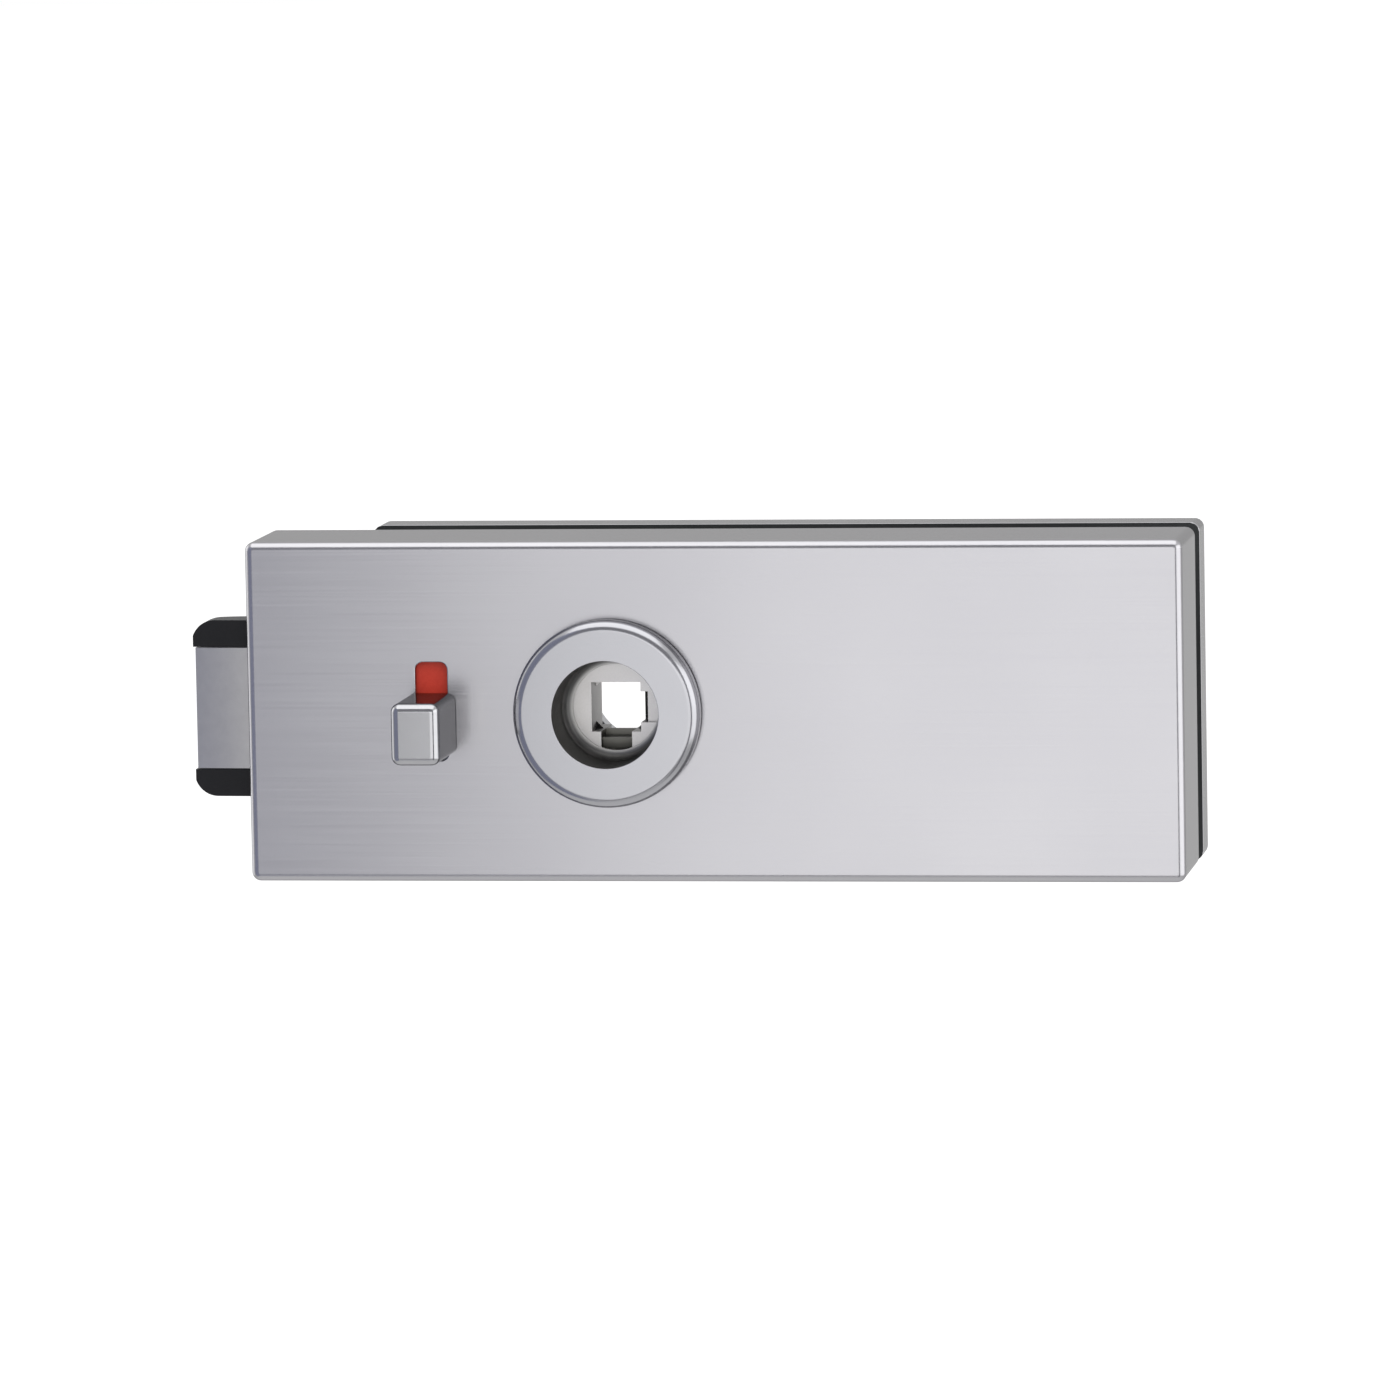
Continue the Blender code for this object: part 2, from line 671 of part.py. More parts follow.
def make_base_plate():
    span_x = (-INNER_LENGTH, INNER_LENGTH)
    span_z = (-INNER_HEIGHT, INNER_HEIGHT)
    rings = [
        rounded_rect(span_x, span_z, BASE_FRONT, CAVITY_CORNER),
        rounded_rect(span_x, span_z, BASE_BACK, CAVITY_CORNER),
    ]
    plate = loft("base_plate", rings, steel())
    welded = BASE_FRONT + WELD
    boss_front = BACK_BUSH_FRONT - SEAT_GAP
    boss_span = (boss_front, welded)
    add(plate, round_hole("add_base_boss", SPINDLE_X, 0, BOSS_R, boss_span, ROUND_SIDES))
    post_x = (POST_LEFT, POST_RIGHT)
    for side, name in ((1, "upper"), (-1, "lower")):
        post_z = sorted((side * SPRING_POST_LOW, side * SPRING_POST_HIGH))
        post_d = (SPRING_POST_FRONT, welded)
        add(plate, block(f"add_base_post_{name}", post_x, post_d, post_z, steel()))
        centre = (0, LATCH_MID_D, side * LATCH_SPRING_Z)
        peg_x = (POST_LEFT - SPRING_PEG_LENGTH, POST_LEFT + WELD)
        peg_name = f"add_base_peg_{name}"
        add(plate, cylinder(peg_name, centre, SPRING_PEG_R, peg_x, steel(), TINY_SIDES, "x"))
    lug_z = (-INNER_HEIGHT, -INNER_HEIGHT + LUG_HEIGHT)
    lug_d = (BASE_FRONT - CASE_LUG_LENGTH, welded)
    for number, x in enumerate((-CASE_GRUB_X, CASE_GRUB_X)):
        lug_x = (x - LUG_WIDTH / 2, x + LUG_WIDTH / 2)
        add(plate, block(f"add_base_lug_{number}", lug_x, lug_d, lug_z, steel()))
        hole_span = (-INNER_HEIGHT - OVERRUN, -INNER_HEIGHT + LUG_HEIGHT + OVERRUN)
        grub_name = f"cut_base_grub_{number}"
        cut(plate, upright_hole(grub_name, x, CASE_LUG_D, GRUB_R + SEAT_GAP, hole_span))
    through = (boss_front - OVERRUN, BASE_BACK + OVERRUN)
    seat = (boss_front - OVERRUN, BASE_FRONT)
    bush_r = BACK_BUSH_R + SEAT_GAP
    hole_r = BASE_SPINDLE_HOLE_R
    cut(plate, round_hole("cut_base_bush", SPINDLE_X, 0, bush_r, seat, ROUND_SIDES))
    cut(plate, round_hole("cut_base_spindle", SPINDLE_X, 0, hole_r, through, ROUND_SIDES))
    release_r = RELEASE_SPINDLE_R + RUN_GAP
    cut(plate, round_hole("cut_base_release", RELEASE_X, RELEASE_Z, release_r, through))
    for number, (x, z) in enumerate(CLAMP_PLACES):
        clamp_r = CLAMP_SHANK_R + SEAT_GAP
        cut(plate, round_hole(f"cut_base_clamp_{number}", x, z, clamp_r, through))


def make_back_plate():
    span_x = (COVER_LEFT + COVER_WALL + SEAT_GAP, FAR_END - COVER_WALL - SEAT_GAP)
    span_z = (-COVER_INNER_HEIGHT, COVER_INNER_HEIGHT)
    rings = [
        rounded_rect(span_x, span_z, BACK_PLATE_FRONT, CAVITY_CORNER),
        rounded_rect(span_x, span_z, BACK_PLATE_BACK, CAVITY_CORNER),
    ]
    plate = loft("back_plate", rings, steel())
    welded = BACK_PLATE_BACK - WELD
    boss_back = BACK_PLATE_BACK + BACK_BOSS_LENGTH
    for number, (x, z) in enumerate(CLAMP_PLACES):
        add(plate, round_hole(f"add_back_boss_{number}", x, z, BACK_BOSS_R, (welded, boss_back)))
    lug_z = (-COVER_INNER_HEIGHT, -COVER_INNER_HEIGHT + LUG_HEIGHT)
    lug_d = (welded, BACK_PLATE_BACK + COVER_LUG_LENGTH)
    for number, x in enumerate((COVER_GRUB_LEFT_X, COVER_GRUB_RIGHT_X)):
        lug_x = (x - LUG_WIDTH / 2, x + LUG_WIDTH / 2)
        add(plate, block(f"add_back_lug_{number}", lug_x, lug_d, lug_z, steel()))
        hole_span = (lug_z[0] - OVERRUN, lug_z[1] + OVERRUN)
        grub_name = f"cut_back_grub_{number}"
        cut(plate, upright_hole(grub_name, x, COVER_LUG_D, GRUB_R + SEAT_GAP, hole_span))
    through = (BACK_PLATE_FRONT - OVERRUN, boss_back + OVERRUN)
    hole_r = BACK_SPINDLE_HOLE_R
    cut(plate, round_hole("cut_back_spindle", SPINDLE_X, 0, hole_r, through, ROUND_SIDES))
    bush_r = RELEASE_SPINDLE_R + RUN_GAP + RELEASE_BUSH_WALL + SEAT_GAP
    cut(plate, round_hole("cut_back_release", RELEASE_X, RELEASE_Z, bush_r, through))
    for number, (x, z) in enumerate(CLAMP_PLACES):
        clamp_r = CLAMP_SHANK_R + SEAT_GAP
        cut(plate, round_hole(f"cut_back_clamp_{number}", x, z, clamp_r, through))


def make_back_cover():
    span_x = (COVER_LEFT, FAR_END)
    rings = [case_ring(span_x, BACK_PLATE_FRONT, 0, CASE_CORNER)]
    for step in range(EDGE_STEPS + 1):
        angle = math.pi / 2 * step / EDGE_STEPS
        inset = COVER_EDGE * (1 - math.cos(angle))
        depth = COVER_BACK - COVER_EDGE * (1 - math.sin(angle))
        rings.append(case_ring(span_x, depth, inset, CASE_CORNER))
    cover = loft("back_cover", rings, satin_case())
    cavity_x = (COVER_LEFT + COVER_WALL, FAR_END - COVER_WALL)
    cavity_z = (-HALF_HEIGHT + COVER_WALL, HALF_HEIGHT - COVER_WALL)
    cavity_rings = [
        rounded_rect(cavity_x, cavity_z, BACK_PLATE_FRONT - OVERRUN, CAVITY_CORNER),
        rounded_rect(cavity_x, cavity_z, COVER_BACK - COVER_BACK_WALL, CAVITY_CORNER),
    ]
    cut(cover, loft("cut_cover_cavity", cavity_rings, steel()))
    span = (COVER_BACK - COVER_BACK_WALL - OVERRUN, COVER_BACK + OVERRUN)
    rose_r = BACK_SPIGOT_R + SEAT_GAP
    cut(cover, round_hole("cut_cover_rose", SPINDLE_X, 0, rose_r, span, ROUND_SIDES))
    disc_r = DISC_R + RUN_GAP
    cut(cover, round_hole("cut_cover_release", RELEASE_X, RELEASE_Z, disc_r, span, ROUND_SIDES))
    floor_span = (-HALF_HEIGHT - OVERRUN, -HALF_HEIGHT + COVER_WALL + OVERRUN)
    for number, x in enumerate((COVER_GRUB_LEFT_X, COVER_GRUB_RIGHT_X)):
        name = f"cut_cover_grub_{number}"
        cut(cover, upright_hole(name, x, COVER_LUG_D, GRUB_R + SEAT_GAP, floor_span))


# Roses and bushes round the spindle
def make_front_rose():
    face = -ROSE_PROUD
    profile = [(ROSE_BORE_R, face + ROSE_BORE_EDGE), (ROSE_BORE_R + ROSE_BORE_EDGE, face)]
    for step in range(EDGE_STEPS + 1):
        angle = math.pi / 2 * step / EDGE_STEPS
        radius = ROSE_R - ROSE_EDGE * (1 - math.sin(angle))
        profile.append((radius, face + ROSE_EDGE * (1 - math.cos(angle))))
    foot_top = -SEAT_GAP - ROSE_FOOT_HEIGHT
    profile.append((ROSE_R, foot_top))
    profile.append((ROSE_R - ROSE_FOOT_INSET, foot_top))
    profile.append((ROSE_R - ROSE_FOOT_INSET, -SEAT_GAP))
    profile.append((SLEEVE_R, -SEAT_GAP))
    profile.append((SLEEVE_R, FRONT_BUSH_BACK))
    bush_seat_r = FRONT_BUSH_R + SEAT_GAP
    lip_back = FRONT_BUSH_FRONT - SEAT_GAP
    lip_front = lip_back - ROSE_LIP
    lip_r = HUB_JOURNAL_R + RUN_GAP
    profile.append((bush_seat_r, FRONT_BUSH_BACK))
    profile.append((bush_seat_r, lip_back))
    profile.append((lip_r, lip_back))
    fillet = ROSE_BORE_R - lip_r
    for step in range(EDGE_STEPS + 1):
        angle = math.pi / 2 * step / EDGE_STEPS
        radius = lip_r + fillet * math.sin(angle)
        profile.append((radius, lip_front - fillet * (1 - math.cos(angle))))
    turned("front_rose", SPINDLE_X, 0, profile, satin_rose(), ROUND_SIDES, True)


def make_back_rose():
    seat = COVER_BACK + SEAT_GAP
    profile = [(ROSE_BORE_R, REAR_END), (ROSE_BORE_R, COVER_BACK - BACK_SPIGOT_LENGTH)]
    profile.append((BACK_SPIGOT_R, COVER_BACK - BACK_SPIGOT_LENGTH))
    profile.append((BACK_SPIGOT_R, seat))
    profile.append((ROSE_R, seat))
    for step in range(EDGE_STEPS + 1):
        angle = math.pi / 2 * step / EDGE_STEPS
        radius = ROSE_R - BACK_ROSE_EDGE * (1 - math.cos(angle))
        profile.append((radius, REAR_END - BACK_ROSE_EDGE * (1 - math.sin(angle))))
    turned("back_rose", SPINDLE_X, 0, profile, satin_rose(), ROUND_SIDES, True)


def bush_profile(inner, outer, front, back):
    return [(inner, front), (outer, front), (outer, back), (inner, back)]


def make_hub_bushes():
    inner = HUB_JOURNAL_R + RUN_GAP
    front = bush_profile(inner, FRONT_BUSH_R, FRONT_BUSH_FRONT, FRONT_BUSH_BACK)
    turned("hub_front_bush", SPINDLE_X, 0, front, white_plastic(), ROUND_SIDES, True)
    back = bush_profile(inner, BACK_BUSH_R, BACK_BUSH_FRONT, BASE_FRONT - SEAT_GAP)
    turned("hub_back_bush", SPINDLE_X, 0, back, white_plastic(), ROUND_SIDES, True)


# Follower with its arm, ear and pin
def make_hub(axis):
    back = BASE_FRONT - SEAT_GAP
    profile = [
        (HUB_JOURNAL_R, HUB_FACE_DEPTH),
        (HUB_JOURNAL_R, HUB_FLANGE_FRONT),
        (HUB_FLANGE_R, HUB_FLANGE_FRONT),
        (HUB_FLANGE_R, HUB_FLANGE_BACK),
        (HUB_JOURNAL_R, HUB_FLANGE_BACK),
        (HUB_JOURNAL_R, back),
    ]
    origin = axis.location
    hub = turned("hub", SPINDLE_X, 0, profile, cast_zinc(), ROUND_SIDES, False, origin, axis)
    centre = (SPINDLE_X, 0)
    arm_span = (ARM_FRONT, ARM_FRONT + ARM_THICKNESS)
    arm_outline = stadium(centre, (PIN_X, PIN_Z), ARM_WIDTH / 2)
    arm = loft("add_hub_arm", [at_depth(arm_outline, d) for d in arm_span], steel())
    ear_end = (
        SPINDLE_X + EAR_RADIUS * math.sin(REST_SWING),
        -EAR_RADIUS * math.cos(REST_SWING),
    )
    ear_outline = stadium(centre, ear_end, EAR_WIDTH / 2)
    ear = loft("add_hub_ear", [at_depth(ear_outline, d) for d in arm_span], steel())
    add(hub, arm, ear)
    pin_hole_r = DRIVE_PIN_SHANK_R + SEAT_GAP
    pin_span = (ARM_FRONT - OVERRUN, ARM_FRONT + ARM_THICKNESS + OVERRUN)
    cut(hub, round_hole("cut_hub_pin", PIN_X, PIN_Z, pin_hole_r, pin_span, TINY_SIDES))
    half = SPINDLE_HOLE / 2
    web_front = HUB_FACE_DEPTH + WEB_FRONT_DEPTH
    web_back = web_front + WEB_THICKNESS
    square_x = (SPINDLE_X - half, SPINDLE_X + half)
    square_z = (-half, half)
    front_d = (HUB_FACE_DEPTH - OVERRUN, web_front)
    back_d = (web_back, back + OVERRUN)
    front_square = block("cut_hub_square_front", square_x, front_d, square_z, steel())
    back_square = block("cut_hub_square_back", square_x, back_d, square_z, steel())
    web_rings = [at_depth(web_outline(), d) for d in (web_front - WELD, web_back + WELD)]
    web = loft("cut_hub_web", web_rings, steel())
    cut(hub, front_square, back_square, web)
    groove = GROOVE_WIDTH / 2
    recess_d = (HUB_FACE_DEPTH - OVERRUN, HUB_FACE_DEPTH + FACE_RECESS_DEPTH)
    right_x = (SPINDLE_X, SPINDLE_X + GROOVE_REACH)
    side_z = (-groove, groove)
    low_x = (SPINDLE_X - groove, SPINDLE_X + groove)
    low_z = (-GROOVE_REACH, 0)
    cut(hub, block("cut_hub_groove_side", right_x, front_d, side_z, steel()))
    cut(hub, block("cut_hub_groove_low", low_x, front_d, low_z, steel()))
    cut(hub, block("cut_hub_groove_back", low_x, back_d, low_z, steel()))
    edge = HUB_JOURNAL_R + OVERRUN
    cut(hub, block("cut_hub_recess_side", (SPINDLE_X, SPINDLE_X + edge), recess_d, side_z, steel()))
    cut(hub, block("cut_hub_recess_low", low_x, recess_d, (-edge, 0), steel()))
    pin_profile = [
        (DRIVE_PIN_R, TAIL_FRONT - RUN_GAP),
        (DRIVE_PIN_R, ARM_FRONT - SEAT_GAP),
        (DRIVE_PIN_SHANK_R, ARM_FRONT - SEAT_GAP),
        (DRIVE_PIN_SHANK_R, ARM_FRONT + ARM_THICKNESS),
    ]
    turned("drive_pin", PIN_X, PIN_Z, pin_profile, steel(), SMALL_SIDES, False, origin, axis)


def web_outline():
    """Square opening of the web, with its corners cut off."""
    half = SPINDLE_HOLE / 2
    short = half - WEB_CHAMFER
    corners = [(half, short), (short, half), (-short, half), (-half, short)]
    corners += [(-half, -short), (-short, -half), (short, -half), (half, -short)]
    return [(SPINDLE_X + x, z) for x, z in corners]


# Springs
def helix(name, start, length, radius, wire_r, turns, axis, origin=None, parent=None):
    """Round wire wound along x or d from a start point on the axis of the coil."""
    count = int(SPRING_POINTS_PER_TURN * turns) + 1
    step_angle = math.tau * turns / (count - 1)
    run = length - 2 * wire_r
    rings = []
    middles = []
    for i in range(count):
        angle = step_angle * i
        along = wire_r + run * i / (count - 1)
        middles.append(coil_point(start, along, radius, angle, axis))
        ring = []
        for side in range(SPRING_SIDES):
            turn = math.tau * side / SPRING_SIDES
            out = radius + wire_r * math.cos(turn)
            ring.append(coil_point(start, along + wire_r * math.sin(turn), out, angle, axis))
        rings.append(ring)
    least = least_gap(middles, wire_r)
    print(f"{name}: least gap between turns {least * 1000:.2f} mm")
    return loft(name, rings, spring_wire(), origin, parent)


def coil_point(start, along, radius, angle, axis):
    x, d, z = start
    if axis == "x":
        return (x + along, d + radius * math.cos(angle), z + radius * math.sin(angle))
    return (x + radius * math.cos(angle), d + along, z + radius * math.sin(angle))


def least_gap(points, wire_r):
    """Smallest clear distance between parts of a wire at least half a turn apart."""
    apart = SPRING_POINTS_PER_TURN // 2 + 1
    gaps = []
    for i, point in enumerate(points):
        for other in points[i + apart:]:
            gaps.append(math.dist(point, other) - 2 * wire_r)
    return min(gaps)


def make_latch_springs():
    start_x = LATCH_BACK + SEAT_GAP
    length = POST_LEFT - SEAT_GAP - start_x
    for side, name in ((1, "latch_spring_upper"), (-1, "latch_spring_lower")):
        start = (start_x, LATCH_MID_D, side * LATCH_SPRING_Z)
        helix(name, start, length, LATCH_SPRING_R, LATCH_SPRING_WIRE_R, LATCH_SPRING_TURNS, "x")


def make_return_spring():
    middle = ARM_FRONT + ARM_THICKNESS / 2
    start_x = POST_RIGHT + SEAT_GAP
    top = -RETURN_SPRING_Z - RETURN_SPRING_R - RETURN_SPRING_WIRE_R
    ear_face = SPINDLE_X + top * math.tan(REST_SWING) - EAR_WIDTH / (2 * math.cos(REST_SWING))
    start = (start_x, middle, RETURN_SPRING_Z)
    length = ear_face - SEAT_GAP - start_x
    wire_r = RETURN_SPRING_WIRE_R
    helix("hub_return_spring", start, length, RETURN_SPRING_R, wire_r, RETURN_SPRING_TURNS, "x")


# Latch, its caps and its tail
def latch_profile(tip_x, front_d, back_d, z):
    """Plan of the latch at one height: front slightly bowed, back bevelled round to the tip."""
    ring = [(LATCH_BACK, back_d, z), (LATCH_BACK, front_d, z)]
    nose_start = LATCH_TIP + LATCH_NOSE_LENGTH
    for step in range(NOSE_STEPS + 1):
        x = nose_start + (tip_x - nose_start) * step / NOSE_STEPS
        ring.append((x, front_d + bow(nose_start - x, LATCH_NOSE_LENGTH, LATCH_NOSE_DROP), z))
    bevel_start = LATCH_TIP + LATCH_BEVEL_LENGTH
    for step in range(NOSE_STEPS + 1):
        x = tip_x + (bevel_start - tip_x) * step / NOSE_STEPS
        ring.append((x, back_d - bow(bevel_start - x, LATCH_BEVEL_LENGTH, LATCH_BEVEL_DROP), z))
    return ring


def bow(along, length, drop):
    """How far an arc has drawn away at a place, where it draws away by drop over its length."""
    radius = (length ** 2 + drop ** 2) / (2 * drop)
    return radius - math.sqrt(radius ** 2 - along ** 2)


def make_latch_core(axis):
    tip = LATCH_TIP + LATCH_CORE_SETBACK
    front = LATCH_FRONT + LATCH_CORE_SINK
    back = LATCH_FRONT + LATCH_THICKNESS
    rings = [latch_profile(tip, front, back, z) for z in (-LATCH_CORE_HALF, LATCH_CORE_HALF)]
    core = loft("latch_core", rings, cast_zinc(), axis.location, axis)
    slot_x = (LATCH_BACK - TAIL_SEAT - SEAT_GAP, LATCH_BACK + OVERRUN)
    slot_d = (TAIL_FRONT - SEAT_GAP, TAIL_FRONT + TAIL_THICKNESS + SEAT_GAP)
    slot_z = (TAIL_STRIP_LOW - SEAT_GAP, LATCH_CORE_HALF + OVERRUN)
    cut(core, block("cut_core_tail_slot", slot_x, slot_d, slot_z, steel()))
    for number, (x, z) in enumerate(tail_pin_places()):
        span = (front - OVERRUN, back + OVERRUN)
        hole_r = TAIL_PIN_R + SEAT_GAP
        cut(core, round_hole(f"cut_core_pin_{number}", x, z, hole_r, span, TINY_SIDES))


def tail_pin_places():
    x = LATCH_BACK - TAIL_PIN_INSET
    middle = (TAIL_STRIP_LOW + TAIL_STRIP_HIGH) / 2
    return [(x, middle - TAIL_PIN_SPACING / 2), (x, middle + TAIL_PIN_SPACING / 2)]


def make_latch_caps(axis):
    back = LATCH_FRONT + LATCH_THICKNESS
    outer = LATCH_HEIGHT / 2
    inner = outer - LATCH_CAP_HEIGHT + LATCH_SEAM
    centre_z = outer - LATCH_CAP_CORNER
    centre_x = LATCH_TIP + LATCH_CAP_CORNER - LATCH_CAP_CORNER_CUT
    start = math.acos((LATCH_CAP_CORNER - LATCH_CAP_CORNER_CUT) / LATCH_CAP_CORNER)
    levels = [(inner, LATCH_TIP)]
    steps = 2 * EDGE_STEPS
    for step in range(steps + 1):
        angle = start + (math.pi / 2 - start) * step / steps
        height = centre_z + LATCH_CAP_CORNER * math.sin(angle)
        tip = centre_x - LATCH_CAP_CORNER * math.cos(angle)
        levels.append((height, tip))
    for side, name in ((1, "latch_cap_upper"), (-1, "latch_cap_lower")):
        rings = [latch_profile(tip, LATCH_FRONT, back, side * z) for z, tip in levels]
        loft(name, rings, black_plastic(), axis.location, axis)


def make_latch_tail(axis):
    left = LATCH_BACK - TAIL_SEAT
    frame_low = PIN_Z - PIN_SWEEP - TAIL_BAR
    frame_high = ARM_RADIUS + PIN_SWEEP + TAIL_TOP_BAR
    frame_right = PIN_X + PIN_SWEEP + TAIL_END_BAR
    knee = FRAME_LEFT + TAIL_BAR
    outline = [
        (left, TAIL_STRIP_LOW),
        (FRAME_LEFT - TAIL_BAR, TAIL_STRIP_LOW),
        (knee, frame_low),
        (frame_right, frame_low),
        (frame_right, frame_high),
        (FRAME_LEFT, frame_high),
        (FRAME_LEFT, TAIL_STRIP_HIGH),
        (left, TAIL_STRIP_HIGH),
    ]
    tail_d = (TAIL_FRONT, TAIL_FRONT + TAIL_THICKNESS)
    rings = [at_depth(outline, d) for d in tail_d]
    tail = loft("latch_tail", rings, steel(), axis.location, axis)
    tab_x = (TAB_LEFT, TAB_LEFT + TAB_WIDTH)
    tab_d = (TAIL_FRONT - TAB_REACH, TAIL_FRONT + WELD)
    tab_z = (TAIL_STRIP_LOW, TAIL_STRIP_LOW + TAB_HEIGHT)
    add(tail, block("add_tail_tab", tab_x, tab_d, tab_z, steel()))
    window_x = (PIN_X - PIN_SWEEP - LATCH_TRAVEL, PIN_X + PIN_SWEEP)
    window_z = (PIN_Z - PIN_SWEEP, ARM_RADIUS + PIN_SWEEP)
    through = (tail_d[0] - OVERRUN, tail_d[1] + OVERRUN)
    cut(tail, block("cut_tail_window", window_x, through, window_z, steel()))
    pin_span = (LATCH_FRONT + LATCH_CORE_SINK, LATCH_FRONT + LATCH_THICKNESS)
    for number, (x, z) in enumerate(tail_pin_places(), 1):
        hole_r = TAIL_PIN_R + SEAT_GAP
        cut(tail, round_hole(f"cut_tail_pin_{number}", x, z, hole_r, through, TINY_SIDES))
        name = f"tail_pin_{number}"
        place = (x, 0, z)
        origin = axis.location
        cylinder(name, place, TAIL_PIN_R, pin_span, steel(), TINY_SIDES, "d", origin, axis)


def make_latch_guide():
    left = LATCH_END + CASE_WALL + GUIDE_END_GAP
    channel_z = LATCH_HEIGHT / 2 + RUN_GAP
    channel_d = (LATCH_FRONT - RUN_GAP, LATCH_FRONT + LATCH_THICKNESS + RUN_GAP)
    x_span = (left, left + GUIDE_LENGTH)
    d_span = (channel_d[0] - GUIDE_FRONT_WALL, BASE_FRONT - SEAT_GAP)
    z_span = (-channel_z - GUIDE_WALL, channel_z + GUIDE_WALL)
    guide = block("latch_guide", x_span, d_span, z_span, black_plastic())
    cut_x = (x_span[0] - OVERRUN, x_span[1] + OVERRUN)
    cut(guide, block("cut_guide_channel", cut_x, channel_d, (-channel_z, channel_z), steel()))


# Snib: knob, slider, indicators, screw
def make_snib(axis):
    make_snib_knob(axis)
    make_snib_slider(axis)
    half = INDICATOR_WIDTH / 2
    span_x = (SNIB_X - half, SNIB_X + half)
    span_d = (POCKET_FLOOR + SEAT_GAP, POCKET_FLOOR + SEAT_GAP + INDICATOR_THICKNESS)
    origin = axis.location
    block("red_indicator", span_x, span_d, (RED_LOW, RED_HIGH), red_paint(), origin, axis)
    green_z = (GREEN_LOW, GREEN_HIGH)
    block("green_indicator", span_x, span_d, green_z, green_paint(), origin, axis)
    head_back = SLIDER_BACK
    head_front = SLIDER_BACK - (SNIB_SCREW_HEAD_R - SNIB_SCREW_R)
    profile = [
        (SNIB_SCREW_R, head_back - SNIB_SCREW_LENGTH),
        (SNIB_SCREW_R, head_front),
        (SNIB_SCREW_HEAD_R, head_back),
    ]
    middle = (KNOB_LOW + KNOB_HIGH) / 2
    turned("snib_screw", SNIB_X, middle, profile, steel(), SMALL_SIDES, False, origin, axis)


def make_snib_knob(axis):
    half = KNOB_WIDTH / 2
    rings = []
    for step in range(EDGE_STEPS + 1):
        angle = math.pi / 2 * step / EDGE_STEPS
        inset = KNOB_EDGE * (1 - math.sin(angle))
        depth = -KNOB_REACH + KNOB_EDGE * (1 - math.cos(angle))
        x_span = (SNIB_X - half + inset, SNIB_X + half - inset)
        z_span = (KNOB_LOW + inset, KNOB_HIGH - inset)
        rings.append(rounded_rect(x_span, z_span, depth, KNOB_CORNER - inset))
    full_x = (SNIB_X - half, SNIB_X + half)
    rings.append(rounded_rect(full_x, (KNOB_LOW, KNOB_HIGH), -KNOB_FOOT_GAP, KNOB_CORNER))
    stem_x = (SNIB_X - STEM_WIDTH / 2, SNIB_X + STEM_WIDTH / 2)
    stem_z = (KNOB_LOW + STEM_INSET, KNOB_HIGH - STEM_INSET)
    stem_back = SLIDER_FRONT - SEAT_GAP
    rings.append(rounded_rect(stem_x, stem_z, -KNOB_FOOT_GAP, SLOT_CORNER))
    rings.append(rounded_rect(stem_x, stem_z, stem_back, SLOT_CORNER))
    knob = loft("snib_knob", rings, satin_case(), axis.location, axis)
    bore_span = (SLIDER_BACK - SNIB_SCREW_LENGTH - SEAT_GAP, stem_back + OVERRUN)
    middle = (KNOB_LOW + KNOB_HIGH) / 2
    cut(knob, round_hole("cut_knob_screw", SNIB_X, middle, SNIB_SCREW_R + SEAT_GAP, bore_span))


def make_snib_slider(axis):
    half = SLIDER_WIDTH / 2
    span_x = (SNIB_X - half, SNIB_X + half)
    span_d = (SLIDER_FRONT, SLIDER_BACK)
    span_z = (SLIDER_LOW, SLIDER_HIGH)
    slider = block("snib_slider", span_x, span_d, span_z, steel(), axis.location, axis)
    welded = SLIDER_BACK - WELD
    tooth_x = (TOOTH_LEFT, TOOTH_LEFT + TOOTH_WIDTH)
    tooth_d = (welded, TAIL_FRONT - TAB_REACH - TOOTH_TIP_GAP)
    tooth_z = (TAIL_STRIP_LOW, TAIL_STRIP_LOW + TAB_HEIGHT)
    add(slider, block("add_slider_tooth", tooth_x, tooth_d, tooth_z, steel()))
    bar_x = fork_bar_span()
    bar_d = (welded, CRANK_FRONT - TOOTH_TIP_GAP)
    for number, bar_z in enumerate(fork_bar_heights()):
        add(slider, block(f"add_slider_fork_{number}", bar_x, bar_d, bar_z, steel()))
    middle = (KNOB_LOW + KNOB_HIGH) / 2
    head_depth = SNIB_SCREW_HEAD_R - SNIB_SCREW_R
    shank_r = SNIB_SCREW_R + SEAT_GAP
    head_r = SNIB_SCREW_HEAD_R + SEAT_GAP
    profile = [
        (shank_r, SLIDER_FRONT - OVERRUN),
        (shank_r, SLIDER_BACK - head_depth),
        (head_r, SLIDER_BACK),
        (head_r, SLIDER_BACK + OVERRUN),
    ]
    cut(slider, turned("cut_slider_screw", SNIB_X, middle, profile, steel(), SMALL_SIDES, False))
    dimple_span = (SLIDER_BACK - DIMPLE_DEPTH, SLIDER_BACK + OVERRUN)
    x = SNIB_X + DETENT_FROM_SNIB
    for number, z in enumerate((DETENT_Z, DETENT_Z - SNIB_TRAVEL)):
        cut(slider, round_hole(f"cut_slider_dimple_{number}", x, z, DIMPLE_R, dimple_span, TINY_SIDES))


def fork_bar_span():
    left = CRANK_PIN_X - FORK_BAR_LEFT
    return (left, left + FORK_BAR_WIDTH)


def fork_bar_heights():
    """Height spans of the two bars which hold the crank pin between them."""
    clear = CRANK_PIN_R + RUN_GAP
    low = (CRANK_PIN_Z - clear - FORK_BAR_THICKNESS, CRANK_PIN_Z - clear)
    high = (CRANK_PIN_Z + clear, CRANK_PIN_Z + clear + FORK_BAR_THICKNESS)
    return (low, high)


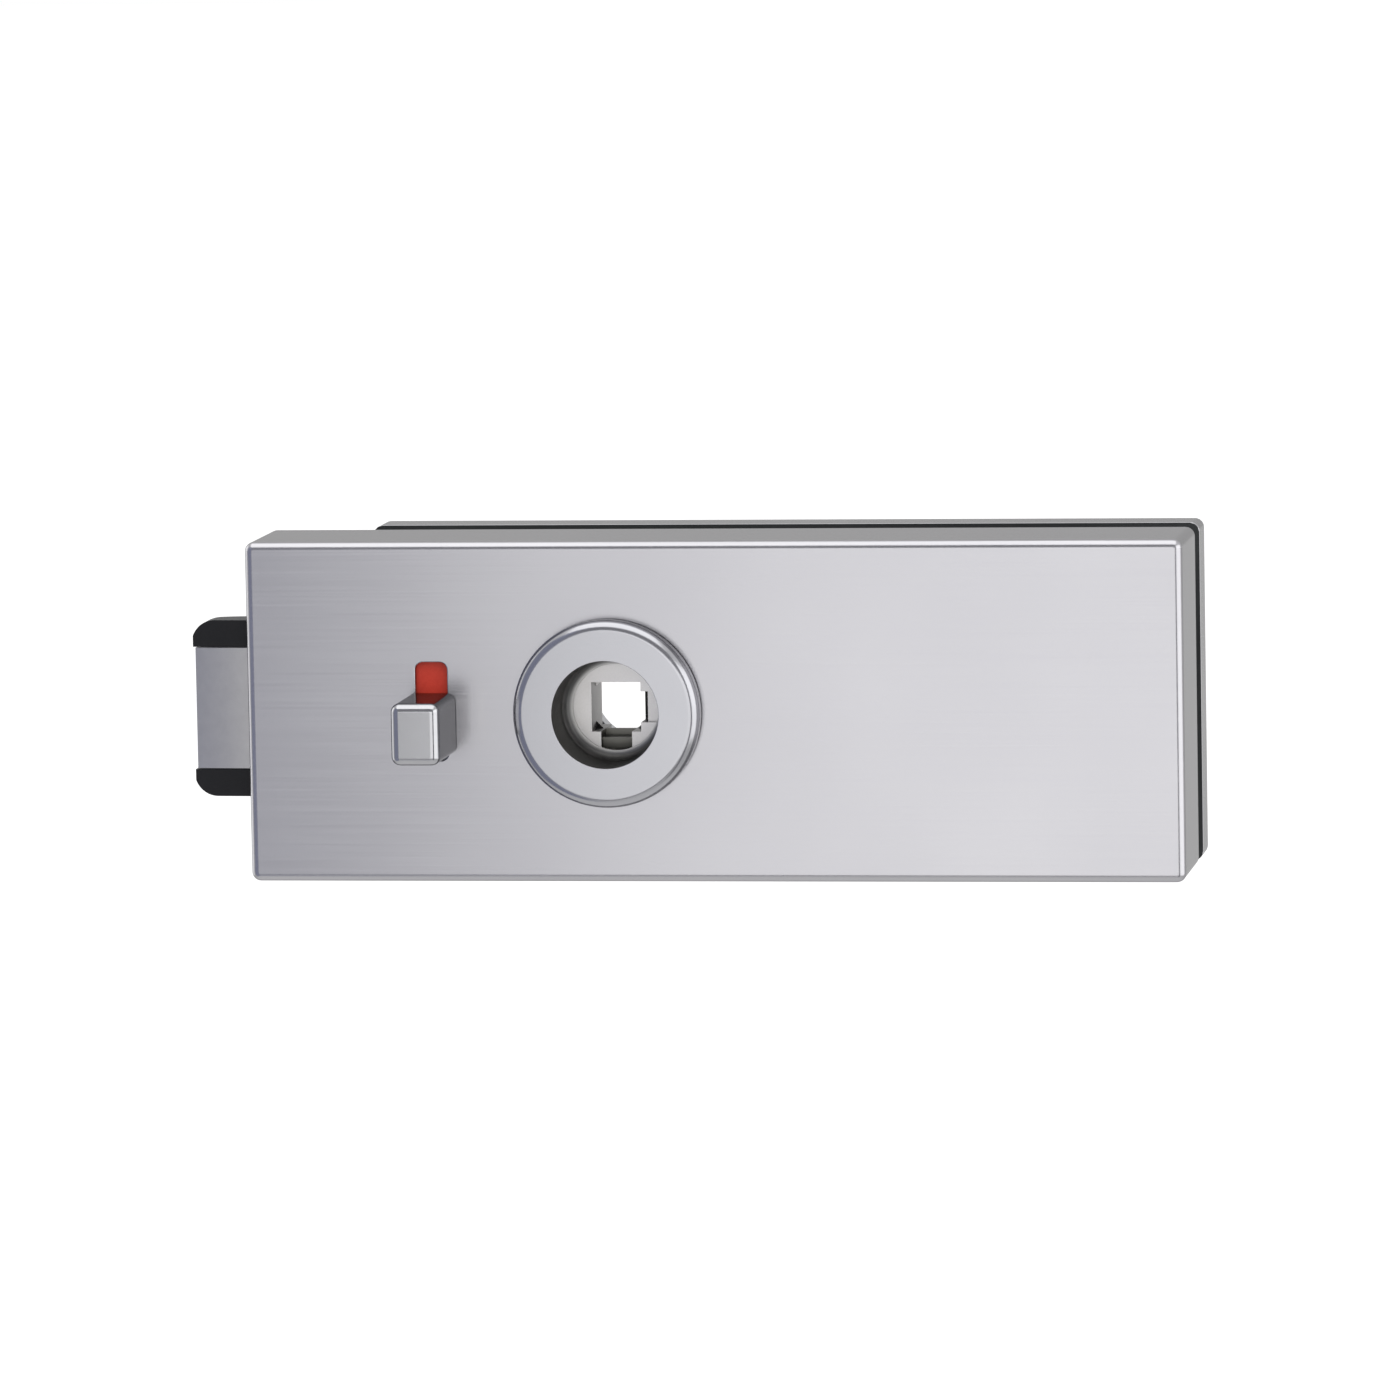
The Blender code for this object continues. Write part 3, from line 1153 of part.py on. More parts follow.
def make_snib_track():
    inner = SLIDER_WIDTH / 2 + RUN_GAP
    outer = inner + TRACK_RAIL_WIDTH
    span_x = (SNIB_X - outer, SNIB_X + outer)
    span_d = (TRACK_FRONT, TRACK_BACK)
    span_z = (-TRACK_HALF_LENGTH, TRACK_HALF_LENGTH)
    track = block("snib_track", span_x, span_d, span_z, black_plastic())
    rail_d = (CASE_FRONT_WALL + SEAT_GAP, TRACK_FRONT + WELD)
    for side, name in ((1, "right"), (-1, "left")):
        rail_x = sorted((SNIB_X + side * inner, SNIB_X + side * outer))
        add(track, block(f"add_track_rail_{name}", rail_x, rail_d, span_z, black_plastic()))
        tab_end = TRACK_HALF_LENGTH + TRACK_TAB_LENGTH
        tab_z = sorted((side * (TRACK_HALF_LENGTH - WELD), side * tab_end))
        tab_x = (SNIB_X - TRACK_TAB_WIDTH / 2, SNIB_X + TRACK_TAB_WIDTH / 2)
        tab_d = (rail_d[0], TRACK_BACK)
        add(track, block(f"add_track_tab_{name}", tab_x, tab_d, tab_z, black_plastic()))
        screw_span = (rail_d[0] - OVERRUN, TRACK_BACK + OVERRUN)
        screw_z = side * TRACK_SCREW_Z
        screw_r = TRACK_SCREW_R + SEAT_GAP
        hole_name = f"cut_track_screw_{name}"
        cut(track, round_hole(hole_name, SNIB_X, screw_z, screw_r, screw_span, TINY_SIDES))
    through = (TRACK_FRONT - OVERRUN, TRACK_BACK + OVERRUN)
    tooth_x = (TOOTH_LEFT - WINDOW_MARGIN, TOOTH_LEFT + TOOTH_WIDTH + WINDOW_MARGIN)
    tooth_top = TAIL_STRIP_LOW + TAB_HEIGHT + SNIB_TRAVEL + WINDOW_MARGIN
    tooth_z = (TAIL_STRIP_LOW - WINDOW_MARGIN, tooth_top)
    cut(track, block("cut_track_tooth_window", tooth_x, through, tooth_z, black_plastic()))
    low, high = fork_bar_heights()
    bar_x = fork_bar_span()
    fork_x = (bar_x[0] - WINDOW_MARGIN, bar_x[1] + WINDOW_MARGIN / 2)
    fork_z = (low[0] - WINDOW_MARGIN, high[1] + SNIB_TRAVEL + WINDOW_MARGIN)
    cut(track, block("cut_track_fork_window", fork_x, through, fork_z, black_plastic()))
    x = SNIB_X + DETENT_FROM_SNIB
    cup_back = TRACK_BACK + DETENT_CUP_LENGTH
    cup_span = (TRACK_BACK - WELD, cup_back)
    add(track, round_hole("add_track_cup", x, DETENT_Z, DETENT_CUP_R, cup_span))
    bore_span = (TRACK_FRONT - OVERRUN, cup_back - DETENT_CUP_FLOOR)
    bore_r = DETENT_BALL_R + SEAT_GAP
    cut(track, round_hole("cut_track_cup", x, DETENT_Z, bore_r, bore_span))


def make_track_screws():
    head_front = TRACK_BACK + SEAT_GAP
    for number, z in enumerate((-TRACK_SCREW_Z, TRACK_SCREW_Z), 1):
        profile = [
            (TRACK_SCREW_R, TRACK_SCREW_SKIN + SEAT_GAP),
            (TRACK_SCREW_R, head_front),
            (TRACK_SCREW_HEAD_R, head_front),
            (TRACK_SCREW_HEAD_R, head_front + TRACK_SCREW_HEAD),
        ]
        turned(f"track_screw_{number}", SNIB_X, z, profile, steel(), TINY_SIDES, False)


def make_detent():
    x = SNIB_X + DETENT_FROM_SNIB
    centre_d = TRACK_FRONT - DETENT_PROUD + DETENT_BALL_R
    profile = []
    rows = 2 * EDGE_STEPS
    tip_share = 0.2
    for row in range(rows + 1):
        angle = math.pi * (tip_share / 2 + (1 - tip_share) * row / rows)
        profile.append((DETENT_BALL_R * math.sin(angle), centre_d - DETENT_BALL_R * math.cos(angle)))
    turned("detent_ball", x, DETENT_Z, profile, steel(), TINY_SIDES, False)
    start_d = centre_d + DETENT_BALL_R + SEAT_GAP
    floor_d = TRACK_BACK + DETENT_CUP_LENGTH - DETENT_CUP_FLOOR
    length = floor_d - SEAT_GAP - start_d
    start = (x, start_d, DETENT_Z)
    wire_r = DETENT_SPRING_WIRE_R
    helix("detent_spring", start, length, DETENT_SPRING_R, wire_r, DETENT_SPRING_TURNS, "d")


# Emergency release from the back
def make_release(axis):
    origin = axis.location
    centre = (RELEASE_X, RELEASE_Z)
    crank_back = CRANK_FRONT + CRANK_THICKNESS
    disc_front = BACK_PLATE_FRONT + RELEASE_BUSH_LENGTH + RUN_GAP
    spindle_back = disc_front + SPINDLE_TANG
    profile = [(RELEASE_SPINDLE_R, CRANK_FRONT), (RELEASE_SPINDLE_R, spindle_back)]
    spindle = turned(
        "release_spindle", RELEASE_X, RELEASE_Z, profile, steel(), SMALL_SIDES, False, origin, axis
    )
    pin_place = (CRANK_PIN_X, CRANK_PIN_Z)
    crank_outline = stadium(centre, pin_place, CRANK_HALF_WIDTH)
    crank_rings = [at_depth(crank_outline, d) for d in (CRANK_FRONT, crank_back)]
    crank = loft("add_release_crank", crank_rings, steel())
    pin_span = (CRANK_FRONT - CRANK_PIN_LENGTH, CRANK_FRONT + WELD)
    pin = round_hole("add_release_pin", CRANK_PIN_X, CRANK_PIN_Z, CRANK_PIN_R, pin_span, TINY_SIDES)
    add(spindle, crank, pin)
    wall_front = COVER_BACK - COVER_BACK_WALL
    flange_back = wall_front - RUN_GAP
    disc_back = COVER_BACK + DISC_PROUD
    disc_profile = [
        (DISC_FLANGE_R, flange_back - DISC_FLANGE),
        (DISC_FLANGE_R, flange_back),
        (DISC_R, flange_back),
        (DISC_R, disc_back - DISC_EDGE),
        (DISC_R - DISC_EDGE, disc_back),
    ]
    disc = turned(
        "release_disc", RELEASE_X, RELEASE_Z, disc_profile, satin_rose(), ROUND_SIDES, False, origin, axis
    )
    slot_half = COIN_SLOT_LENGTH / 2
    slot_x = (RELEASE_X - COIN_SLOT_WIDTH / 2, RELEASE_X + COIN_SLOT_WIDTH / 2)
    slot_z = (RELEASE_Z - slot_half, RELEASE_Z + slot_half)
    slot_d = (disc_back - COIN_SLOT_DEPTH, disc_back + OVERRUN)
    tang_r = RELEASE_SPINDLE_R + SEAT_GAP
    tang_span = (flange_back - DISC_FLANGE - OVERRUN, spindle_back + SEAT_GAP)
    cut(disc, block("cut_disc_slot", slot_x, slot_d, slot_z, steel()))
    cut(disc, round_hole("cut_disc_tang", RELEASE_X, RELEASE_Z, tang_r, tang_span))


def make_release_bush():
    inner = RELEASE_SPINDLE_R + RUN_GAP
    back = BACK_PLATE_FRONT + RELEASE_BUSH_LENGTH
    profile = bush_profile(inner, inner + RELEASE_BUSH_WALL, BACK_PLATE_FRONT, back)
    turned("release_bush", RELEASE_X, RELEASE_Z, profile, white_plastic(), SMALL_SIDES, True)


# Fasteners
def make_clamp_screws():
    head_back = BASE_FRONT - SEAT_GAP
    head_front = head_back - CLAMP_HEAD
    for number, (x, z) in enumerate(CLAMP_PLACES, 1):
        profile = [
            (CLAMP_SOCKET_R, head_front + CLAMP_SOCKET_DEPTH),
            (CLAMP_SOCKET_R, head_front),
            (CLAMP_HEAD_R, head_front),
            (CLAMP_HEAD_R, head_back),
            (CLAMP_SHANK_R, head_back),
            (CLAMP_SHANK_R, head_back + CLAMP_LENGTH),
        ]
        turned(f"clamp_screw_{number}", x, z, profile, steel(), SMALL_SIDES, False)


def make_glass_bushes():
    front = BASE_BACK + SEAT_GAP
    back = BACK_PLATE_FRONT - SEAT_GAP
    profile = bush_profile(CLAMP_SHANK_R + SEAT_GAP, GLASS_BUSH_R, front, back)
    for number, (x, z) in enumerate(CLAMP_PLACES, 1):
        turned(f"glass_bush_{number}", x, z, profile, white_plastic(), SMALL_SIDES, True)


def make_grub_screws(name, places):
    """Socket set screws along z, head down, a little inside the bottom face."""
    bottom = -HALF_HEIGHT + GRUB_RECESS
    top = bottom + GRUB_LENGTH
    for number, (x, d) in enumerate(places, 1):
        levels = [
            (GRUB_SOCKET_R, bottom + GRUB_SOCKET_DEPTH),
            (GRUB_SOCKET_R, bottom),
            (GRUB_R, bottom),
            (GRUB_R, top),
        ]
        rings = [circle((x, d, z), radius, TINY_SIDES, "z") for radius, z in levels]
        loft(f"{name}_{number}", rings, steel())


def main():
    clear_scene()
    hub_axis = axis_empty("hub_axis", (SPINDLE_X, HUB_FACE_DEPTH, 0))
    latch_axis = axis_empty("latch_axis", (LATCH_END, LATCH_MID_D, 0))
    snib_axis = axis_empty("snib_axis", (SNIB_X, 0, 0))
    release_axis = axis_empty("release_axis", (RELEASE_X, COVER_BACK, RELEASE_Z))
    make_front_case()
    make_base_plate()
    make_front_gasket()
    make_back_gasket()
    make_back_plate()
    make_back_cover()
    make_front_rose()
    make_back_rose()
    make_hub_bushes()
    make_hub(hub_axis)
    make_return_spring()
    make_latch_core(latch_axis)
    make_latch_caps(latch_axis)
    make_latch_tail(latch_axis)
    make_latch_guide()
    make_latch_springs()
    make_snib(snib_axis)
    make_snib_track()
    make_track_screws()
    make_detent()
    make_release(release_axis)
    make_release_bush()
    make_clamp_screws()
    make_glass_bushes()
    case_places = [(-CASE_GRUB_X, CASE_LUG_D), (CASE_GRUB_X, CASE_LUG_D)]
    make_grub_screws("case_grub_screw", case_places)
    cover_places = [(COVER_GRUB_LEFT_X, COVER_LUG_D), (COVER_GRUB_RIGHT_X, COVER_LUG_D)]
    make_grub_screws("cover_grub_screw", cover_places)


main()
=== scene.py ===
"""Looks of the glass door lock: finer pieces, finishes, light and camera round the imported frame.

Lengths are millimetres in the lock's own axes: x runs to the right and z up from the middle of
the case, and d runs inwards from its face. at() turns such a place into metres of the frame.
The studio at the end is in metres of the frame.
"""

import math

import bpy
import bmesh
from mathutils import Matrix, Vector


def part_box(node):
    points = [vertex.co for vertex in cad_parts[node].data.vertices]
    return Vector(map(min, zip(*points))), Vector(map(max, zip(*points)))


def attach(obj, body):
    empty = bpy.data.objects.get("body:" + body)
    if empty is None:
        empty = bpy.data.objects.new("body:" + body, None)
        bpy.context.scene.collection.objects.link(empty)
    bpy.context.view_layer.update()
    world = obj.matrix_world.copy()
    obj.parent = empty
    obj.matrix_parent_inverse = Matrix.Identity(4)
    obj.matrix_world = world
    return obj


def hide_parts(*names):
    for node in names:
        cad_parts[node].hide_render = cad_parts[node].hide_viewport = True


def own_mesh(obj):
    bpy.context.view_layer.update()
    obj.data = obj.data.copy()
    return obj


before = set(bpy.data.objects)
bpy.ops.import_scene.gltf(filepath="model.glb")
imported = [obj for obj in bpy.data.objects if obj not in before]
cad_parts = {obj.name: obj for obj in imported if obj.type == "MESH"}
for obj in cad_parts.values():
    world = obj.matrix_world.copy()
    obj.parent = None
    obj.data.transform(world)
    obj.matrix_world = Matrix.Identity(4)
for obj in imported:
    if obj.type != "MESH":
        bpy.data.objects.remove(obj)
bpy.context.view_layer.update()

MM = 0.001
# Middle of the case's face in the frame, in metres
CASE_FACE_CENTRE = Vector((0.00635, -0.0145, 0.035))

# Case and cover
HALF_LENGTH = 96.5
HALF_HEIGHT = 35.0
FULL_HEIGHT = (-HALF_HEIGHT, HALF_HEIGHT)
CASE_SPAN = (-HALF_LENGTH, HALF_LENGTH)
CASE_DEPTH = 27.0
CASE_WALL = 2.2
CASE_FRONT_WALL = 2.5
CASE_EDGE = 1.7
COVER_SPAN = (-76.0, HALF_LENGTH)
COVER_FRONT = 36.3
COVER_BACK = 47.5
COVER_WALL = 1.6
COVER_BACK_WALL = 2.0
COVER_EDGE = 1.5
BODY_CORNER = 1.9
CAVITY_CORNER = 1.0
RIM_BREAK = 0.2
LIP = 0.25
OVERRUN = 2.0

# Grub screws in the lower faces, as (x, d); their outline is (radius, height) from their lower end
CASE_GRUBS = ((-70.0, 19.2), (70.0, 19.2))
COVER_GRUBS = ((-40.0, 41.6), (68.0, 41.6))
GRUB_HOLE_R = 1.8
GRUB_SINK = 0.6
GRUB_PROFILE = ((0.95, 0.0), (1.3, 0.0), (1.5, 0.2), (1.5, 5.4), (1.2, 5.6))
SOCKET_ACROSS = 1.5
SOCKET_HEIGHTS = (1.2, 0.1)

# Spindle, follower and roses
SPINDLE_X = -21.3
SPINDLE = (SPINDLE_X, 0.0)
ROSE_R = 19.25
ROSE_FACE = -5.2
ROSE_EDGE = 2.1
ROSE_FOOT = -0.9
ROSE_FOOT_EDGE = 0.12
ROSE_SEAT_R = 18.9
ROSE_BACK = -0.3
ROSE_BORE_R = 11.05
ROSE_BORE_EDGE = 0.08
RECESS_CORNER = 2.1
ROSE_SLEEVE_R = 13.5
ROSE_SLEEVE_END = 12.7
ROSE_SLEEVE_BORE_R = 11.4
ROSE_LIP_R = 8.92
ROSE_LIP = (9.45, 9.6)
CASE_ROSE_HOLE_R = 13.8
HUB_FACE = 9.5
HUB_R = 8.9
HUB_FACE_BREAK = 0.02
HUB_FLANGE_R = 13.0
HUB_FLANGE = (13.1, 16.5)
HUB_BACK = 22.9
HUB_BACK_BREAK = 0.25
HUB_PLATE = (13.4, 16.1)
HUB_WEB = (15.5, 16.5)
HUB_EASE = 0.12
HALF_SQUARE = 5.1
HALF_GROOVE = 3.2
GROOVE_REACH = 6.4
FACE_RECESS = 1.3
WEB_CORNER = 1.5
WEB_OVERRUN = 0.5
ARM_PIN = (-28.543, 19.9)
ARM_PIN_R = 1.8
ARM_HALF_WIDTH = 3.5
EAR_END = (-14.631, -18.324)
EAR_HALF_WIDTH = 2.2
REAR_ROSE = (47.8, 49.5)
REAR_ROSE_EDGE = 0.6
REAR_ROSE_SEAT_EDGE = 0.1
REAR_ROSE_BORE_EDGE = 0.25
REAR_SPIGOT_R = 13.0
REAR_SPIGOT_LENGTH = 3.0
COVER_ROSE_HOLE_R = 13.3

# Thumb slide, its slot and the pocket behind it
SNIB_X = -58.0
SLOT_HALF_WIDTH = 3.3
SLOT_Z = (-9.95, 10.3)
SLOT_CORNER = 1.6
POCKET_HALF_WIDTH = 6.45
POCKET_HALF_HEIGHT = 17.5
POCKET_FRONT = 1.2
TRACK_SCREW_Z = 22.0
TRACK_SCREW_R = 1.55
TRACK_SCREW_FRONT = 1.0
KNOB_HALF = 5.0
KNOB_Z = (-8.65, 4.0)
KNOB_FACE = -20.5
KNOB_FOOT = -0.4
KNOB_CORNER = 1.8
KNOB_EDGE = 1.75
KNOB_SCREW_R = 1.6
KNOB_SCREW_TIP = -6.0
STEM_HALF = 2.8
STEM_INSET = 0.6
STEM_CORNER = 1.6
STEM_BACK = 2.2
PLATE_HALF = 4.4
PLATE_D = (1.5, 2.2)
PLATE_CORNER = 0.4
PLATE_FACE_CORNER = 0.35
PLATE_BREAK = 0.12
RED_Z = (3.6, 11.0)
GREEN_Z = (-15.6, -10.5)

# Spring latch and its mouth
LATCH_TIP = -109.2
LATCH_BACK = -80.0
LATCH_D = (7.5, 15.5)
CORE_HALF = 12.5
CORE_SETBACK = 0.45
CORE_SINK = 0.3
CORE_EASE = 0.15
NOSE_RUN = 14.0
NOSE_DROP = 0.6
BEVEL_RUN = 10.0
BEVEL_DROP = 5.0
CAP_Z = (12.7, 18.25)
CAP_CORNER = 5.0
CAP_CORNER_CUT = 0.3
MOUTH_D = (7.15, 15.85)
MOUTH_HALF_HEIGHT = 18.6
MOUTH_CORNER = 0.5
TAIL_SLOT_LENGTH = 4.3
TAIL_SLOT_D = (10.2, 12.8)
TAIL_SLOT_Z = (3.7, 14.5)
TAIL_PIN_Z = (6.0, 10.0)
TAIL_PIN_R = 1.1
TAIL_PIN_SETBACK = 2.0
TAIL_PIN_BACK = 17.0

# Springs: radius of the wire and number of turns, then length at the far limit over that at rest
LATCH_SPRING = (0.35, 9)
HUB_SPRING = (0.45, 8)
CLOSED_PITCH = 1.05

# Emergency release
RELEASE = (-59.0, -6.0)
RELEASE_HOLE_R = 6.3
DISC_R = 6.0
DISC_FACE = 48.0
DISC_EDGE = 0.4
DISC_EASE = 0.1
COLLAR_R = 7.5
COLLAR_D = (43.4, 45.2)
COIN_SLOT_HALF_WIDTH = 0.8
COIN_SLOT_HALF_LENGTH = 4.2
COIN_SLOT_FLOOR = 46.8
RELEASE_BORE_R = 3.3
RELEASE_BORE_END = 46.0

# Sleeves that keep the clamp screws off the glass
BUSH_PLACES = ((-60.0, -24.0), (-60.0, 24.0), (82.0, -24.0), (82.0, 24.0))
BUSH_BORE_R = 2.8
BUSH_R = 6.0
BUSH_D = (26.5, 36.0)
BUSH_EDGE = 0.3

# Facets
CORNER_STEPS = 8
EDGE_STEPS = 8
TURNED_SIDES = 144
SMALL_SIDES = 48
NOSE_STEPS = 24
WIRE_SIDES = 10
WIRE_POINTS_PER_TURN = 28
SHARP_ANGLE = math.radians(32)


def at(x, d, z):
    """A place on the lock, in mm, as a point of the frame, in metres."""
    return CASE_FACE_CENTRE + Vector((x, d, z)) * MM


def span(middle, half):
    """Both ends of a length, from its middle and its half."""
    return (middle - half, middle + half)


# Outlines
def filleted(corners, steps=CORNER_STEPS):
    """Closed outline through (u, v, radius) corners, each rounded by its own radius."""
    points = []
    for last, corner, following in zip(corners[-1:] + corners[:-1], corners,
                                       corners[1:] + corners[:1]):
        here = Vector(corner[:2])
        radius = corner[2]
        if radius == 0:
            points.append(tuple(here))
            continue
        back = (Vector(last[:2]) - here).normalized()
        ahead = (Vector(following[:2]) - here).normalized()
        half = back.angle(ahead) / 2
        reach = radius / math.tan(half)
        middle = here + (back + ahead).normalized() * radius / math.sin(half)
        spoke = here + back * reach - middle
        sweep = spoke.angle_signed(here + ahead * reach - middle)
        for step in range(steps + 1):
            points.append(tuple(middle + Matrix.Rotation(-sweep * step / steps, 2) @ spoke))
    return points


def rect(u_span, v_span, corner=0.0, inset=0.0):
    """Rectangle drawn in by an inset, with round corners."""
    u0, u1 = u_span[0] + inset, u_span[1] - inset
    v0, v1 = v_span[0] + inset, v_span[1] - inset
    return filleted([(u0, v0, corner), (u1, v0, corner), (u1, v1, corner), (u0, v1, corner)])


def circle(u, v, radius, sides=TURNED_SIDES):
    angles = [math.tau * step / sides for step in range(sides)]
    return [(u + radius * math.cos(a), v + radius * math.sin(a)) for a in angles]


def hexagon(u, v, across, sides=SMALL_SIDES):
    """Hexagon with as many points as a circle of that many sides."""
    sixth = math.tau / 6
    points = []
    for step in range(sides):
        angle = math.tau * step / sides
        radius = across / 2 / math.cos(angle % sixth - sixth / 2)
        points.append((u + radius * math.cos(angle), v + radius * math.sin(angle)))
    return points


def bar(start, end, half_width, steps=2 * CORNER_STEPS):
    """Bar with round ends between two (x, z) points."""
    heading = math.atan2(end[1] - start[1], end[0] - start[0])
    points = []
    for centre, turn in ((end, heading), (start, heading + math.pi)):
        for step in range(steps + 1):
            angle = turn - math.pi / 2 + math.pi * step / steps
            points.append((centre[0] + half_width * math.cos(angle),
                           centre[1] + half_width * math.sin(angle)))
    return points


def rounding(radius, steps):
    """(inset, depth) along a rounded edge, from the face to the side."""
    angles = [math.pi / 2 * step / steps for step in range(steps + 1)]
    return [(radius * (1 - math.sin(a)), radius * (1 - math.cos(a))) for a in angles]


def ring(outline, level, axis="d"):
    """Outline set at one place along an axis of the lock."""
    if axis == "d":
        return [(u, level, v) for u, v in outline]
    if axis == "x":
        return [(level, u, v) for u, v in outline]
    return [(u, v, level) for u, v in outline]


# Meshes
def link_mesh(name, bm):
    """Puts a bmesh into the scene as an object, and frees it."""
    mesh = bpy.data.meshes.new(name)
    bm.to_mesh(mesh)
    bm.free()
    piece = bpy.data.objects.new(name, mesh)
    bpy.context.scene.collection.objects.link(piece)
    return piece


def skin(name, rings, cycle=False):
    """Closed body through rings of points in metres, capped at both ends or joined in a cycle."""
    bm = bmesh.new()
    loops = [[bm.verts.new(point) for point in points] for points in rings]
    pairs = list(zip(loops, loops[1:]))
    if cycle:
        pairs.append((loops[-1], loops[0]))
    count = len(loops[0])
    for near, far in pairs:
        for i in range(count):
            j = (i + 1) % count
            bm.faces.new((near[i], near[j], far[j], far[i]))
    if not cycle:
        bm.faces.new(loops[0])
        bm.faces.new(loops[-1])
    bmesh.ops.recalc_face_normals(bm, faces=bm.faces)
    return link_mesh(name, bm)


def solid(name, rings, cycle=False):
    """Closed body through rings of (x, d, z) points of equal counts."""
    return skin(name, [[at(*point) for point in points] for points in rings], cycle)


def turned(name, x, z, profile, cycle=True, sides=TURNED_SIDES):
    """Body turned round a line through (x, z); the profile holds (radius, d)."""
    return solid(name, [ring(circle(x, z, radius, sides), d) for radius, d in profile], cycle)


def block(x_span, d_span, z_span):
    return solid("tool", [ring(rect(x_span, z_span), d) for d in d_span])


def drill(x, z, radius, d_span):
    return solid("tool", [ring(circle(x, z, radius), d) for d in d_span])


def drill_up(x, d, radius, z_span):
    outline = circle(x, d, radius, SMALL_SIDES)
    return solid("tool", [ring(outline, z, "z") for z in z_span])


def grub_holes(places, wall):
    """Cutters for the grub screws' holes through a lower wall."""
    z_span = (-HALF_HEIGHT - OVERRUN, -HALF_HEIGHT + wall + OVERRUN)
    return [drill_up(x, d, GRUB_HOLE_R, z_span) for x, d in places]


def flared(outline_at, face, inwards, through, axis="d"):
    """Cutter for an opening whose edge is rounded by LIP where it meets a face."""
    rings = [ring(outline_at(LIP), face - inwards * OVERRUN, axis)]
    for grown, sunk in rounding(LIP, CORNER_STEPS):
        rings.append(ring(outline_at(grown), face + inwards * sunk, axis))
    rings.append(ring(outline_at(0), through, axis))
    return solid("tool", rings)


def settle(piece):
    """Takes the modifiers of a piece into its mesh."""
    bpy.context.view_layer.update()
    seen = piece.evaluated_get(bpy.context.evaluated_depsgraph_get())
    mesh = bpy.data.meshes.new_from_object(seen)
    piece.modifiers.clear()
    piece.data = mesh


def shape(piece, operation, tools):
    for tool in tools:
        modifier = piece.modifiers.new("shape", "BOOLEAN")
        modifier.operation = operation
        modifier.solver = "EXACT"
        modifier.object = tool
    settle(piece)
    for tool in tools:
        bpy.data.objects.remove(tool)


def cut(piece, *tools):
    shape(piece, "DIFFERENCE", tools)


def weld(piece, *tools):
    shape(piece, "UNION", tools)


def ease(piece, width):
    """Breaks the sharp edges of a piece, as tumbling or a mould does."""
    modifier = piece.modifiers.new("ease", "BEVEL")
    modifier.width = width * MM
    modifier.segments = 2
    modifier.limit_method = "ANGLE"
    modifier.angle_limit = SHARP_ANGLE
    modifier.harden_normals = False
    settle(piece)


def smooth(piece):
    """Smooth faces with sharp edges kept, so that flat faces stay flat to the light."""
    piece.data.shade_smooth()
    piece.data.set_sharp_from_angle(angle=SHARP_ANGLE)


def dress(piece, body, slot, material, *nodes):
    """Gives a finished piece its material, and puts it on its body in place of CAD nodes."""
    smooth(piece)
    piece.data.materials.clear()
    piece.data.materials.append(material)
    weighted = piece.modifiers.new("flat_faces", "WEIGHTED_NORMAL")
    weighted.keep_sharp = True
    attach(piece, body)
    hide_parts(*nodes)


# Finishes
FINE_DETAIL = 3.0
FINE_ROUGHNESS = 0.6
CLOUD_DETAIL = 2.0
CLOUD_SHARE = 0.35
SHADE_ENDS = (0.32, 0.68)
ROUGH_ENDS = (0.3, 0.7)


def linear(code):
    """Linear colour from an sRGB hex value."""
    channels = [int(code[i:i + 2], 16) / 255 for i in (1, 3, 5)]
    return [c / 12.92 if c <= 0.04045 else ((c + 0.055) / 1.055) ** 2.4 for c in channels] + [1.0]


def add(tree, kind, settings=(), links=()):
    """Adds a node, sets its properties and sockets, and joins its inputs."""
    node = tree.nodes.new(kind)
    for name, value in dict(settings).items():
        if name == "stops":
            for element, (position, colour) in zip(node.color_ramp.elements, value):
                element.position = position
                element.color = colour
        elif isinstance(name, int) or name in node.inputs:
            node.inputs[name].default_value = value
        else:
            setattr(node, name, value)
    for name, output in dict(links).items():
        tree.links.new(output, node.inputs[name])
    return node


def reach_from(tree, place, about):
    """Distance of a place from an axis through (x, z) that runs into the lock."""
    spoke = add(tree, "ShaderNodeVectorMath",
                {"operation": "SUBTRACT", 1: at(about[0], 0, about[1])}, {0: place})
    flat = add(tree, "ShaderNodeVectorMath", {"operation": "MULTIPLY", 1: (1, 0, 1)},
               {0: spoke.outputs[0]})
    length = add(tree, "ShaderNodeVectorMath", {"operation": "LENGTH"}, {0: flat.outputs[0]})
    return length.outputs["Value"]


def paint_shade_by_reach(tree, shade, reach, painted_shade):
    """Shade darkened by painted shade, keeping a share of it at each distance from an axis."""
    inner, outer = painted_shade[0][0], painted_shade[-1][0]
    stretch = add(tree, "ShaderNodeMapRange", {"From Min": inner * MM, "From Max": outer * MM},
                  {"Value": reach})
    share = add(tree, "ShaderNodeValToRGB", (), {"Fac": stretch.outputs["Result"]})
    for _ in painted_shade[2:]:
        share.color_ramp.elements.new(0.5)
    for element, (radius, left) in zip(share.color_ramp.elements, painted_shade):
        element.position = (radius - inner) / (outer - inner)
        element.color = (left, left, left, 1.0)
    return add(tree, "ShaderNodeVectorMath", {"operation": "MULTIPLY"},
               {0: shade, 1: share.outputs["Color"]}).outputs[0]


